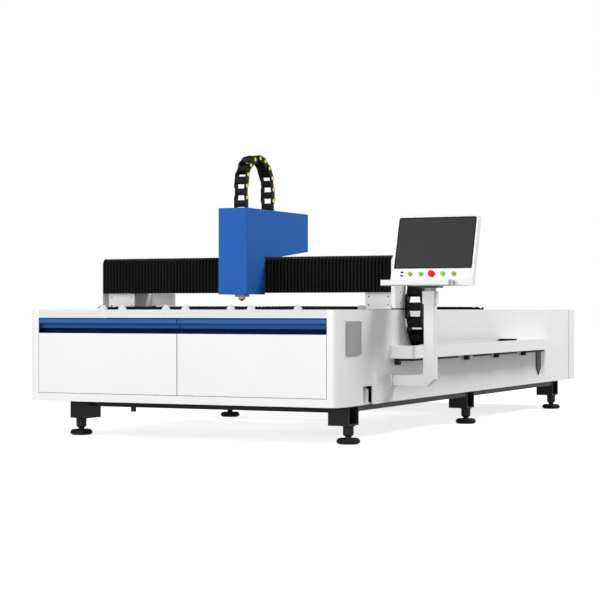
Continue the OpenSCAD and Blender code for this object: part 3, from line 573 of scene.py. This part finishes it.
def add_rings(bm, rings, capped=True):
    """A skin through closed rings of as many points each."""
    rows = [[bm.verts.new(point) for point in ring] for ring in rings]
    count = len(rows[0])
    for row, after in zip(rows, rows[1:]):
        for j in range(count):
            bm.faces.new((row[j], row[(j + 1) % count], after[(j + 1) % count], after[j]))
    if capped:
        bm.faces.new(list(reversed(rows[0])))
        bm.faces.new(rows[-1])


def add_hoop(bm, rings):
    """A skin through closed rings that comes back to the first of them."""
    add_rings(bm, rings + rings[:1], capped=False)
    bmesh.ops.remove_doubles(bm, verts=bm.verts, dist=WELD)


def add_box(bm, low, high, bevel, matrix=None):
    """A block between two corners with its edges rounded."""
    low, high = Vector(low), Vector(high)
    size = Matrix.Diagonal((*(high - low), 1))
    place_at = (matrix or Matrix.Identity(4)) @ Matrix.Translation((low + high) / 2) @ size
    made = bmesh.ops.create_cube(bm, size=1.0, matrix=place_at)
    edges = list({edge for vert in made["verts"] for edge in vert.link_edges})
    bmesh.ops.bevel(bm, geom=edges, offset=bevel, segments=2, profile=0.5, affect="EDGES")


def circle_points(radius, count):
    angles = [2 * math.pi * i / count for i in range(count)]
    return [(radius * math.cos(a), radius * math.sin(a)) for a in angles]


def hexagon_points(across, count):
    """Points on a hexagon, given across its flats, at even angles."""
    points = []
    for i in range(count):
        angle = 2 * math.pi * i / count
        from_flat = (angle + math.pi / 6) % (math.pi / 3) - math.pi / 6
        radius = across / 2 / math.cos(from_flat)
        points.append((radius * math.cos(angle), radius * math.sin(angle)))
    return points


def round_outline(x0, y0, x1, y1, upper, lower, count=6):
    """Points round an upright rectangle, with one corner radius above and another below."""
    centres = (
        (x1 - upper, y1 - upper, upper),
        (x0 + upper, y1 - upper, upper),
        (x0 + lower, y0 + lower, lower),
        (x1 - lower, y0 + lower, lower),
    )
    points = []
    for i, (x, y, radius) in enumerate(centres):
        for k in range(count + 1):
            angle = math.pi / 2 * (i + k / count)
            points.append((x + radius * math.cos(angle), y + radius * math.sin(angle)))
    return points


def facing(at, normal):
    """A frame at a point whose Z is along a normal."""
    return Matrix.Translation(at) @ Vector(normal).to_track_quat("Z", "Y").to_matrix().to_4x4()


def raise_ring(points, z, matrix):
    """Flat points lifted to a height in a frame."""
    return [matrix @ Vector((x, y, z)) for x, y in points]


def turned_rings(profile, matrix, count):
    """Circles round the frame's Z from (radius, height) pairs."""
    return [raise_ring(circle_points(radius, count), z, matrix) for radius, z in profile]


def add_plate(bm, outline, z0, z1, bevel, matrix):
    """A flat plate with its edges broken, from an outline round its own middle."""
    mid = Vector((sum(p[0] for p in outline), sum(p[1] for p in outline))) / len(outline)
    inner = []
    for x, y in outline:
        arm = Vector((x, y)) - mid
        inner.append(tuple(mid + arm * (1 - bevel / arm.length)))
    rings = [(inner, z0), (outline, z0 + bevel), (outline, z1 - bevel), (inner, z1)]
    add_rings(bm, [raise_ring(points, z, matrix) for points, z in rings])


# Cable chains

# A chain's own plane stands upright along Y: its X runs along Y, its Y runs up and its width runs along X
UPRIGHT = Matrix(((0, 0, 1, 0), (1, 0, 0, 0), (0, 1, 0, 0), (0, 0, 0, 1)))
# How often a side plate's thickness goes into the chain's width, and a cross piece's into its height
PLATE_PARTS = 16
RUNG_PARTS = 6
LINK_CLEAR = 0.001
LINK_PLAY = 0.0003
PLATE_BEVEL = 0.0012
RUNG_BEVEL = 0.0018
RIB_INSET = 0.16
RIB_REACH = 0.3
RIB_HALF = 0.004
RIB_PROUD = 0.0012
RIB_BEVEL = 0.0008
PIN_PROUD = 0.002
PIN_CUT = 0.0008
PIN_FLAT = 0.3
PIN_SIDES = 20


def link_outline(pitch, height, count=9):
    """A bar with round ends from one pin to the next."""
    r = height / 2
    turn = [math.pi * i / (count - 1) for i in range(count)]
    right = [(pitch + r * math.sin(a), -r * math.cos(a)) for a in turn]
    left = [(-r * math.sin(a), r * math.cos(a)) for a in turn]
    return right + left


def add_link(bm, matrix, pitch, height, width, inner):
    """Two side plates and ribbed cross pieces; an inner link lies inside its neighbours."""
    t = width / PLATE_PARTS
    r = height / 2
    edge = t + LINK_PLAY if inner else 0.0
    rung_t = height / RUNG_PARTS
    rung = pitch - 2 * (math.sqrt(r * r - (r - rung_t) ** 2) + LINK_CLEAR)
    outline = link_outline(pitch, height)
    for z in (edge, width - edge - t):
        add_plate(bm, outline, z, z + t, PLATE_BEVEL, matrix)
    mid = pitch / 2
    for s in (-1, 1):
        y = s * (height - rung_t) / 2
        low = (mid - rung / 2, y - rung_t / 2, edge + t / 2)
        high = (mid + rung / 2, y + rung_t / 2, width - edge - t / 2)
        add_box(bm, low, high, RUNG_BEVEL, matrix)
        outer = s * height / 2
        for z in (edge + RIB_INSET * width, width - edge - RIB_INSET * width):
            low = (mid - RIB_REACH * rung, outer - RIB_PROUD, z - RIB_HALF)
            high = (mid + RIB_REACH * rung, outer + RIB_PROUD, z + RIB_HALF)
            add_box(bm, low, high, RIB_BEVEL, matrix)


def add_pin(bm, matrix, radius, width):
    """Chamfered pin caps on both sides of a joint between two links."""
    t = width / PLATE_PARTS
    profile = [
        (radius, 0),
        (radius, t + PIN_PROUD - PIN_CUT),
        (radius - PIN_CUT, t + PIN_PROUD),
        (PIN_FLAT * radius, t + PIN_PROUD),
    ]
    near = Matrix.Translation((0, 0, width - t))
    far = Matrix.Translation((0, 0, t)) @ Matrix.Rotation(math.pi, 4, "X")
    for side in (near, far):
        add_rings(bm, turned_rings(profile, matrix @ side, PIN_SIDES))


def turn_path(radius, count, legs):
    """Places and headings of the links of a half turn with straight legs."""
    pitch = 2 * radius * math.sin(math.pi / 2 / count)
    path = [((i - legs) * pitch, -radius, 0.0) for i in range(legs)]
    for i in range(count):
        angle = math.pi * i / count
        path.append((radius * math.sin(angle), -radius * math.cos(angle), angle + math.pi / 2 / count))
    path += [(-i * pitch, radius, math.pi) for i in range(legs)]
    return path, pitch


def link_frames(path, matrix):
    """Frames of the links along a path in a frame's XY plane."""
    return [matrix @ Matrix.Translation((x, y, 0)) @ Matrix.Rotation(a, 4, "Z") for x, y, a in path]


def build_links(path, pitch, height, width, matrix, first=0):
    """Mesh of a chain's links along a path, with first as the number of links before it."""
    bm = bmesh.new()
    for i, at in enumerate(link_frames(path, matrix)):
        add_link(bm, at, pitch, height, width, (i + first) % 2 == 1)
    return bm


def build_pins(path, height, width, matrix, first=0, cap=1 / 6):
    """Mesh of the pins at the joints of such links; their caps' radius is that share of the height."""
    bm = bmesh.new()
    for i, at in enumerate(link_frames(path, matrix)):
        if i + first > 0:
            add_pin(bm, at, cap * height, width)
    return bm


Z_LINK_H = 0.045
Z_TURN_LINKS = 8
Z_LEG_LINKS = 3
Z_CAP = 0.3


def make_z_chain():
    """Chain that arches over the cover, with yellow pins."""
    low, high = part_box("z_chain")
    radius = (high.y - low.y - Z_LINK_H) / 2
    width = high.x - low.x - 2 * PIN_PROUD
    middle = Vector((low.x + PIN_PROUD, (low.y + high.y) / 2, high.z - radius - Z_LINK_H / 2))
    matrix = Matrix.Translation(middle) @ UPRIGHT @ Matrix.Rotation(math.pi / 2, 4, "Z")
    path, pitch = turn_path(radius, Z_TURN_LINKS, Z_LEG_LINKS)
    links = build_links(path, pitch, Z_LINK_H, width, matrix)
    pins = build_pins(path, Z_LINK_H, width, matrix, cap=Z_CAP)
    chain = finish_piece(links, "z_chain_links", "chain_plastic")
    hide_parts("z_chain")
    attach(chain, "z_chain")
    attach(finish_piece(pins, "z_chain_pins", "pin_plastic"), "z_chain")


Y_LINK_H = 0.064
Y_TURN_LINKS = 9
Y_LOWER_LINKS = 15


def y_chain_sizes():
    """Radius, width and middle of the long chain's turn."""
    low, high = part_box("y_chain_loop")
    radius = (high.z - low.z - Y_LINK_H) / 2
    width = high.x - low.x - 2 * PIN_PROUD
    middle = Vector((low.x + PIN_PROUD, low.y + radius + Y_LINK_H / 2, (low.z + high.z) / 2))
    return radius, width, middle


def make_y_chain_loop():
    """Turn of the long chain; returns the pitch of its links."""
    radius, width, middle = y_chain_sizes()
    matrix = Matrix.Translation(middle) @ UPRIGHT @ Matrix.Rotation(math.pi, 4, "Z")
    path, pitch = turn_path(radius, Y_TURN_LINKS, 0)
    links = build_links(path, pitch, Y_LINK_H, width, matrix)
    pins = build_pins(path, Y_LINK_H, width, matrix)
    chain = finish_piece(links, "y_chain_loop_links", "chain_plastic")
    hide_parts("y_chain_loop")
    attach(chain, "y_chain")
    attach(finish_piece(pins, "y_chain_loop_pins", "chain_plastic"), "y_chain")
    return pitch


def y_chain_travel():
    """How far the turn of the long chain runs back."""
    joint = next(joint for joint in frame["joints"] if joint["name"] == "y_chain_y")
    return -joint["range_m"][0]


def make_y_chain_lower(pitch):
    """Run that lies in the tray."""
    radius, width, middle = y_chain_sizes()
    matrix = Matrix.Translation((middle.x, middle.y, middle.z - radius)) @ UPRIGHT
    path = [(i * pitch, 0.0, 0.0) for i in range(Y_LOWER_LINKS)]
    links = build_links(path, pitch, Y_LINK_H, width, matrix, Y_TURN_LINKS)
    pins = build_pins(path, Y_LINK_H, width, matrix, Y_TURN_LINKS)
    chain = finish_piece(links, "y_chain_lower_links", "chain_plastic")
    caps = finish_piece(pins, "y_chain_lower_pins", "chain_plastic")
    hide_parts("y_chain_lower")
    for piece in (chain, caps):
        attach(piece, "bed")
        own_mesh(piece)


def blend_evenly(piece, first_body, last_body, k, count, start, end):
    """Bakes the piece's place into its mesh; first_body, last_body, k, count, start and end are not used."""
    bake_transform(piece)


UPPER_PIECES = 8
LINKS_PER_PIECE = 2
UPPER_SLIM = 0.9
CLAMP_WALL = 0.012


def make_y_chain_upper():
    """Upper run of the long chain, squeezed to fit in the clamp as at rest."""
    radius, width, middle = y_chain_sizes()
    near = middle.y + Y_LINK_H / 2
    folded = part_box("chain_clamp")[1].y - CLAMP_WALL - near
    full = folded + y_chain_travel()
    step = full / (UPPER_PIECES * LINKS_PER_PIECE)
    top = middle.z + radius
    squeeze = Matrix.Diagonal((1, folded / full, 1, 1))
    matrix = Matrix.Translation((middle.x, near, top)) @ squeeze @ UPRIGHT
    for k in range(UPPER_PIECES):
        first = k * LINKS_PER_PIECE
        path = [((first + i) * step, 0.0, 0.0) for i in range(LINKS_PER_PIECE)]
        links = build_links(path, step, UPPER_SLIM * Y_LINK_H, width, matrix, first)
        start = Vector((middle.x, near + folded * k / UPPER_PIECES, top))
        end = Vector((middle.x, near + folded * (k + 1) / UPPER_PIECES, top))
        piece = finish_piece(links, f"y_chain_upper_links_{k + 1}", "chain_plastic")
        blend_evenly(piece, "y_chain", "gantry", k, UPPER_PIECES, start, end)


# Bellows

FOLD_PITCH = 0.026
FOLD_DEPTH = 0.014
# One fold as (share of its pitch, share of its depth) pairs
FOLD_SHAPE = ((0.0, 0.0), (0.16, 0.12), (0.34, 0.55), (0.5, 1.0), (0.66, 0.55), (0.84, 0.12))
BELLOWS_T = 0.028
BELLOWS_CHAMFER = 0.035
BELLOWS_BULGE = 0.3
BELLOWS_PIECES = 6
BELLOWS_FRAME_T = 0.0025


def bellows_ring(x, depth, low, high):
    """Closed section of a bellows at one place, its outside drawn in by depth."""
    c = BELLOWS_CHAMFER
    b = BELLOWS_BULGE * c
    y, z = low.y + depth, high.z - depth
    yi, zi = low.y + BELLOWS_T, high.z - BELLOWS_T
    outside = [(y, low.z), (y, z - c), (y + b, z - b), (y + c, z), (high.y, z)]
    inside = [(high.y, zi), (yi + c, zi), (yi, zi - c), (yi, low.z)]
    return [(x, *point) for point in outside + inside]


def make_bellows(node, bodies):
    """Pleated cover in a row of pieces along the node; the bodies are passed on but not used."""
    low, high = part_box(node)
    folds = BELLOWS_PIECES * round((high.x - low.x) / FOLD_PITCH / BELLOWS_PIECES)
    pitch = (high.x - low.x) / folds
    per_piece = folds // BELLOWS_PIECES
    for k in range(BELLOWS_PIECES):
        rings = []
        for i in range(k * per_piece, (k + 1) * per_piece):
            for along, depth in FOLD_SHAPE:
                rings.append(bellows_ring(low.x + (i + along) * pitch, FOLD_DEPTH * depth, low, high))
        rings.append(bellows_ring(low.x + (k + 1) * per_piece * pitch, 0.0, low, high))
        bm = bmesh.new()
        add_rings(bm, rings)
        piece = finish_piece(bm, f"{node}_{k + 1}", "bellows_fabric")
        start = Vector(rings[0][0])
        end = Vector((rings[-1][0][0], start.y, start.z))
        if k == 0:
            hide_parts(node)
        blend_evenly(piece, *bodies, k, BELLOWS_PIECES, start, end)


def make_bellows_frames():
    """Flat black frames that hold the bellows to both sides of the cover."""
    bm = bmesh.new()
    for node, to_cover in (("bellows_left", 1), ("bellows_right", -1)):
        low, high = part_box(node)
        end = high.x if to_cover > 0 else low.x
        yi, zi = low.y + BELLOWS_T, high.z - BELLOWS_T
        front = [(yi, low.z), (low.y, low.z), (low.y, high.z)]
        top = [(high.y, high.z), (high.y, zi), (yi, zi)]
        span = sorted((end - to_cover * BELLOWS_FRAME_T, end))
        add_rings(bm, [[(x, *point) for point in front + top] for x in span])
    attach(finish_piece(bm, "bellows_frames", "bellows_fabric"), "carriage")


# Strips and covers on the bed and the gantry

STRIP_BEVEL = 0.001
APRON_T = 0.004
APRON_REACH = 0.22
APRON_DROP = 0.006


def make_apron():
    """Black strip across the front ends of the slat supports, a little lower than the slats' tips."""
    low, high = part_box("slat_supports")
    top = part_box("slats")[1].z - APRON_DROP
    bm = bmesh.new()
    add_box(bm, (low.x, low.y - APRON_T, low.z), (high.x + APRON_REACH, low.y, top), STRIP_BEVEL)
    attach(finish_piece(bm, "table_apron", "slat_steel"), "bed")


# Where each strip of painted shadow under the tray starts and ends along Y
TRAY_SHADOW_STRIPS = ((-1.775, -0.89), (-0.55, -0.15), (0.03, 0.45), (0.68, 1.15))
TRAY_STRIP_H = 0.015
TRAY_STRIP_W = 0.014
TRAY_STRIP_SETBACK = 0.001
TRAY_FRONT_INSET = 0.07


def make_tray_shadow_strips():
    """Black strips under the outer rim of the chain tray, and the one under its front end: dark strips that paint
    the shadow line under the rim.
    """
    low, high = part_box("chain_tray")
    bottom = low.z - TRAY_STRIP_H
    inner = high.x - TRAY_STRIP_W
    outer = high.x - TRAY_STRIP_SETBACK
    bm = bmesh.new()
    for start, end in TRAY_SHADOW_STRIPS:
        add_box(bm, (inner, start, bottom), (outer, end, low.z), STRIP_BEVEL)
    front = TRAY_SHADOW_STRIPS[0][0]
    left = low.x + TRAY_FRONT_INSET
    add_box(bm, (left, front, bottom), (inner, front + TRAY_STRIP_W, low.z), STRIP_BEVEL)
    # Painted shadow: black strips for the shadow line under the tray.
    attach(finish_piece(bm, "tray_shadow_strips", "pad_rubber"), "bed")


SEAL_W = 0.012
SEAL_SUNK = 0.001
SEAL_PROUD = 0.0012
SEAL_BEVEL = 0.0004


def make_seal_strips():
    """Grey sealing strips where the rear cover meets the side skins."""
    low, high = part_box("side_skin_right")
    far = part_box("side_skin_left")[0].x
    bm = bmesh.new()
    for x, out in ((high.x, 1), (far, -1)):
        x0, x1 = sorted((x - out * SEAL_SUNK, x + out * SEAL_PROUD))
        add_box(bm, (x0, high.y - SEAL_W / 2, low.z), (x1, high.y + SEAL_W / 2, high.z), SEAL_BEVEL)
    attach(finish_piece(bm, "seal_strips", "grey_paint"), "bed")


SKIN_T = 0.004
RECESS_T = 0.0015
RECESS_BEVEL = 0.0003
ROOM_BEHIND = 0.008
ROOM_NEAR = 0.012
ROOM_FAR = 0.01
ROOM_ABOVE = 0.008


def make_notch_shade_lining():
    """Black sheet recess behind the notch, round the air filter: painted shade, dark sheets that stand in for the
    shade inside the notch.
    """
    low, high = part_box("air_filter")
    back = low.x - ROOM_BEHIND
    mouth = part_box("side_skin_right")[1].x - SKIN_T
    near = low.y - ROOM_NEAR
    far = high.y + ROOM_FAR
    top = high.z + ROOM_ABOVE
    bm = bmesh.new()
    for y in (near - RECESS_T, far):
        add_box(bm, (back, y, low.z), (mouth, y + RECESS_T, top), RECESS_BEVEL)
    corner = (back - RECESS_T, near - RECESS_T)
    add_box(bm, (*corner, low.z), (back, far + RECESS_T, top), RECESS_BEVEL)
    add_box(bm, (*corner, top), (mouth, far + RECESS_T, top + RECESS_T), RECESS_BEVEL)
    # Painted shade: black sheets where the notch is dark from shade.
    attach(finish_piece(bm, "notch_shade_lining", "border_black"), "bed")


END_PLATE_L = 0.19
END_PLATE_T = 0.03
END_PLATE_THIN = 0.008
WIPER_H = 0.0085


def make_wipers():
    """Rubber strips under the end plates of the gantry."""
    low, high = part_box("end_plates")
    bm = bmesh.new()
    for x0, x1 in ((low.x, low.x + END_PLATE_THIN), (high.x - END_PLATE_T, high.x)):
        add_box(bm, (x0, high.y - END_PLATE_L, low.z - WIPER_H), (x1, high.y, low.z), STRIP_BEVEL)
    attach(finish_piece(bm, "end_wipers", "pad_rubber"), "gantry")


# Radius and height up the side of the buffer
BUFFER_PROFILE = ((0.027, 0), (0.027, 0.012), (0.0245, 0.02), (0.017, 0.026), (0.006, 0.0285))
BUFFER_INSET = 0.045
BUFFER_Y = -2.16
BUFFER_SIDES = 32


def make_buffer():
    """Round grey buffer on the right edge of the bed."""
    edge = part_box("side_skin_right")[1]
    at = Matrix.Translation((edge.x - BUFFER_INSET, BUFFER_Y, edge.z))
    bm = bmesh.new()
    add_rings(bm, turned_rings(BUFFER_PROFILE, at, BUFFER_SIDES))
    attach(finish_piece(bm, "edge_buffer", "grey_paint"), "bed")


# Console fittings

PANEL_TILT = math.radians(17)
SCREEN_T = 0.005


def panel_frame():
    """Frame on the console's face at the lower left corner of the screen: X across, Y up, Z out."""
    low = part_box("screen")[0]
    sin, cos = math.sin(PANEL_TILT), math.cos(PANEL_TILT)
    corner = (low.x, low.y, low.z + SCREEN_T * sin)
    turn = Matrix(((1, 0, 0), (0, sin, -cos), (0, cos, sin))).to_4x4()
    return Matrix.Translation(corner) @ turn


RIM_INSIDE = 0.0055
RIM_OUTSIDE = 0.0025
RIM_SUNK = 0.001
RIM_PROUD = 0.0008
RIM_UPPER_RADIUS = 0.0145
RIM_INNER_RADIUS = 0.0065
RIM_LOWER_RADIUS = 0.003


def make_screen_border(panel):
    """Thin black rim round the screen, rounder at its upper corners."""
    low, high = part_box("screen")
    wide = high.x - low.x
    tall = (high.z - low.z - SCREEN_T * math.sin(PANEL_TILT)) / math.cos(PANEL_TILT)
    o, i = RIM_OUTSIDE, RIM_INSIDE
    outer = round_outline(-o, -o, wide + o, tall + o, RIM_UPPER_RADIUS, RIM_LOWER_RADIUS)
    inner = round_outline(i, i, wide - i, tall - i, RIM_INNER_RADIUS, RIM_LOWER_RADIUS)
    rings = [(outer, -RIM_SUNK), (outer, RIM_PROUD), (inner, RIM_PROUD), (inner, -RIM_SUNK)]
    bm = bmesh.new()
    add_hoop(bm, [raise_ring(points, z, panel) for points, z in rings])
    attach(finish_piece(bm, "screen_border", "border_black"), "console")


BUTTON_NODES = ("button_1", "button_2", "stop_button", "button_3", "button_4")
BUTTON_ROW = -0.04
RING_PLAY = 0.0006
RING_REACH = 0.005
RING_H = 0.0035
RING_CUT = 0.00066
RING_SIDES = 32


def button_spots(panel):
    """Place in the panel's frame and radius of each button."""
    inverse = panel.inverted()
    boxes = [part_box(node) for node in BUTTON_NODES]
    return [(inverse @ ((low + high) / 2), (high.x - low.x) / 2) for low, high in boxes]


def add_ring(bm, radius, hole, matrix):
    """A flat ring with a broken outer edge, standing on the frame's XY plane."""
    shoulder = RING_H - RING_CUT
    profile = [(hole, 0), (radius, 0), (radius, shoulder), (radius - RING_CUT, RING_H), (hole, RING_H)]
    add_hoop(bm, turned_rings(profile, matrix, RING_SIDES))


def make_button_rings(panel):
    """Steel rings round the push buttons, with room for their heads."""
    bm = bmesh.new()
    for spot, radius in button_spots(panel):
        at = panel @ Matrix.Translation((spot.x, BUTTON_ROW, 0))
        add_ring(bm, radius + RING_REACH, radius + RING_PLAY, at)
    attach(finish_piece(bm, "button_rings", "bare_steel"), "console")


PORT_STEP = 0.067
PORT_OFFSET = 0.012
PORT_W = 0.02
INSERT_PLAY = 0.0004
INSERT_HALF = 0.0036
INSERT_DEPTH = 0.0079
INSERT_PROUD = 0.0002
LIP_REACH = 0.0006
LIP_HALF = 0.0052
LIP_T = 0.0012
PORT_BEVEL = 0.0004


def make_port_inserts(panel):
    """Black inserts with a thin lip in the two ports left of the buttons."""
    left = min(spot.x for spot, radius in button_spots(panel)) - PORT_STEP
    right = left + PORT_W
    bm = bmesh.new()
    for y in (BUTTON_ROW - PORT_OFFSET, BUTTON_ROW + PORT_OFFSET):
        low = (left + INSERT_PLAY, y - INSERT_HALF, -INSERT_DEPTH)
        high = (right - INSERT_PLAY, y + INSERT_HALF, INSERT_PROUD)
        add_box(bm, low, high, PORT_BEVEL, panel)
        low = (left - LIP_REACH, y - LIP_HALF, 0.0)
        high = (right + LIP_REACH, y + LIP_HALF, LIP_T)
        add_box(bm, low, high, PORT_BEVEL, panel)
    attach(finish_piece(bm, "port_inserts", "border_black"), "console")


LEDGE_L = 0.473
# Corners of the catch, from the lower right end of the ledge
CATCH_LOW = Vector((-0.001, -0.001, 0.001))
CATCH_HIGH = Vector((0.013, 0.01, 0.038))
CATCH_BEVEL = 0.0015
# Thin grey strip of painted shadow along the ledge's lower edge
SHADOW_STRIP_INSET = 0.002
SHADOW_STRIP_PROUD = 0.0005
SHADOW_STRIP_SUNK = 0.001
SHADOW_STRIP_H = 0.0055
SHADOW_STRIP_BEVEL = 0.0002


def make_ledge_trim():
    """Grey catch at the right end of the ledge, and a thin grey strip of painted shadow along the ledge's lower
    edge.
    """
    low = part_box("console_housing")[0]
    end = Vector((low.x + LEDGE_L, low.y, low.z))
    bm = bmesh.new()
    add_box(bm, end + CATCH_LOW, end + CATCH_HIGH, CATCH_BEVEL)
    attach(finish_piece(bm, "ledge_catch", "grey_paint"), "console")
    # Painted shadow: a grey strip for the shadow line under the ledge's edge.
    bm = bmesh.new()
    near = (low.x + SHADOW_STRIP_INSET, low.y - SHADOW_STRIP_PROUD, low.z)
    far = (end.x - SHADOW_STRIP_INSET, low.y + SHADOW_STRIP_SUNK, low.z + SHADOW_STRIP_H)
    add_box(bm, near, far, SHADOW_STRIP_BEVEL)
    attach(finish_piece(bm, "ledge_shadow_strip", "grey_paint"), "console")


# Screws

SCREW_SIDES = 18
# Shares of a screw's diameter: height of the head, its chamfer, and the socket's width and floor
HEAD_H = 0.5
HEAD_CUT = 0.08
SOCKET_W = 0.52
SOCKET_FLOOR = 0.225


def add_screw(bm, at, normal, diameter):
    """A socket-head screw: a chamfered head with a hexagon socket."""
    matrix = facing(at, normal)
    tall = HEAD_H * diameter
    cut = HEAD_CUT * diameter
    outside = circle_points(diameter / 2, SCREW_SIDES)
    rim = circle_points(diameter / 2 - cut, SCREW_SIDES)
    socket = hexagon_points(SOCKET_W * diameter, SCREW_SIDES)
    bottom = SOCKET_FLOOR * diameter
    rings = [(outside, 0), (outside, tall - cut), (rim, tall), (socket, tall), (socket, bottom)]
    add_rings(bm, [raise_ring(points, z, matrix) for points, z in rings])


def screws(name, spots, normal, diameter, body, material="dark_paint"):
    """A row of like screws whose heads face the same way."""
    bm = bmesh.new()
    for at in spots:
        add_screw(bm, at, normal, diameter)
    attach(finish_piece(bm, name, material), body)


END_SCREW_D = 0.012
END_SCREW_SUNK = 0.006
END_SCREW_HEIGHTS = (0.032, 0.108)


def make_end_plate_screws():
    """Bolts of the right end plate."""
    low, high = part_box("end_plates")
    mid = high.y - END_PLATE_L / 2
    spots = [(high.x - END_SCREW_SUNK, mid, low.z + z) for z in END_SCREW_HEIGHTS]
    screws("end_plate_screws", spots, X_AXIS, END_SCREW_D, "gantry")


LEFT_PEDESTAL_W = 0.216
RIGHT_PEDESTAL_W = 0.192
PEDESTAL_SCREW_D = 0.0095
PEDESTAL_SCREW_SUNK = 0.005
PEDESTAL_INSET_X = 0.025
PEDESTAL_INSET_Z = 0.03


def make_pedestal_screws():
    """Bolts in the corners of the pedestals' fronts."""
    low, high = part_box("pedestals")
    y = low.y + PEDESTAL_SCREW_SUNK
    spots = []
    for left, right in ((low.x, low.x + LEFT_PEDESTAL_W), (high.x - RIGHT_PEDESTAL_W, high.x)):
        for x in (left + PEDESTAL_INSET_X, right - PEDESTAL_INSET_X):
            spots += [(x, y, z) for z in (low.z + PEDESTAL_INSET_Z, high.z - PEDESTAL_INSET_Z)]
    screws("pedestal_screws", spots, -Y_AXIS, PEDESTAL_SCREW_D, "gantry")


ARM_LOW = 0.355
POST_W = 0.068
FLANGE_T = 0.012
FLANGE_SCREW_D = 0.009
FLANGE_INSET = 0.008
FLANGE_OVERHANG = 0.007


def make_arm_screws():
    """Bolts in the corners of the console arm's flange."""
    low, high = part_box("console_arm")
    x = low.x + FLANGE_T
    mid = (low.y + high.y) / 2
    spots = []
    for s in (-1, 1):
        y = mid + s * (POST_W / 2 + FLANGE_OVERHANG)
        spots += [(x, y, z) for z in (ARM_LOW + FLANGE_INSET, ARM_LOW + POST_W - FLANGE_INSET)]
    screws("arm_screws", spots, X_AXIS, FLANGE_SCREW_D, "bed", "bare_steel")


make_camera()
make_world()
make_floor()
make_lights()
dress_nodes()
make_z_chain()
make_y_chain_lower(make_y_chain_loop())
make_y_chain_upper()
make_bellows("bellows_left", ("gantry", "carriage"))
make_bellows("bellows_right", ("carriage", "gantry"))
make_bellows_frames()
make_apron()
make_tray_shadow_strips()
make_seal_strips()
make_notch_shade_lining()
make_wipers()
make_buffer()
make_screen_border(panel_frame())
make_button_rings(panel_frame())
make_port_inserts(panel_frame())
make_ledge_trim()
make_end_plate_screws()
make_pedestal_screws()
make_arm_screws()

scene = bpy.context.scene
scene.view_settings.view_transform = "Standard"
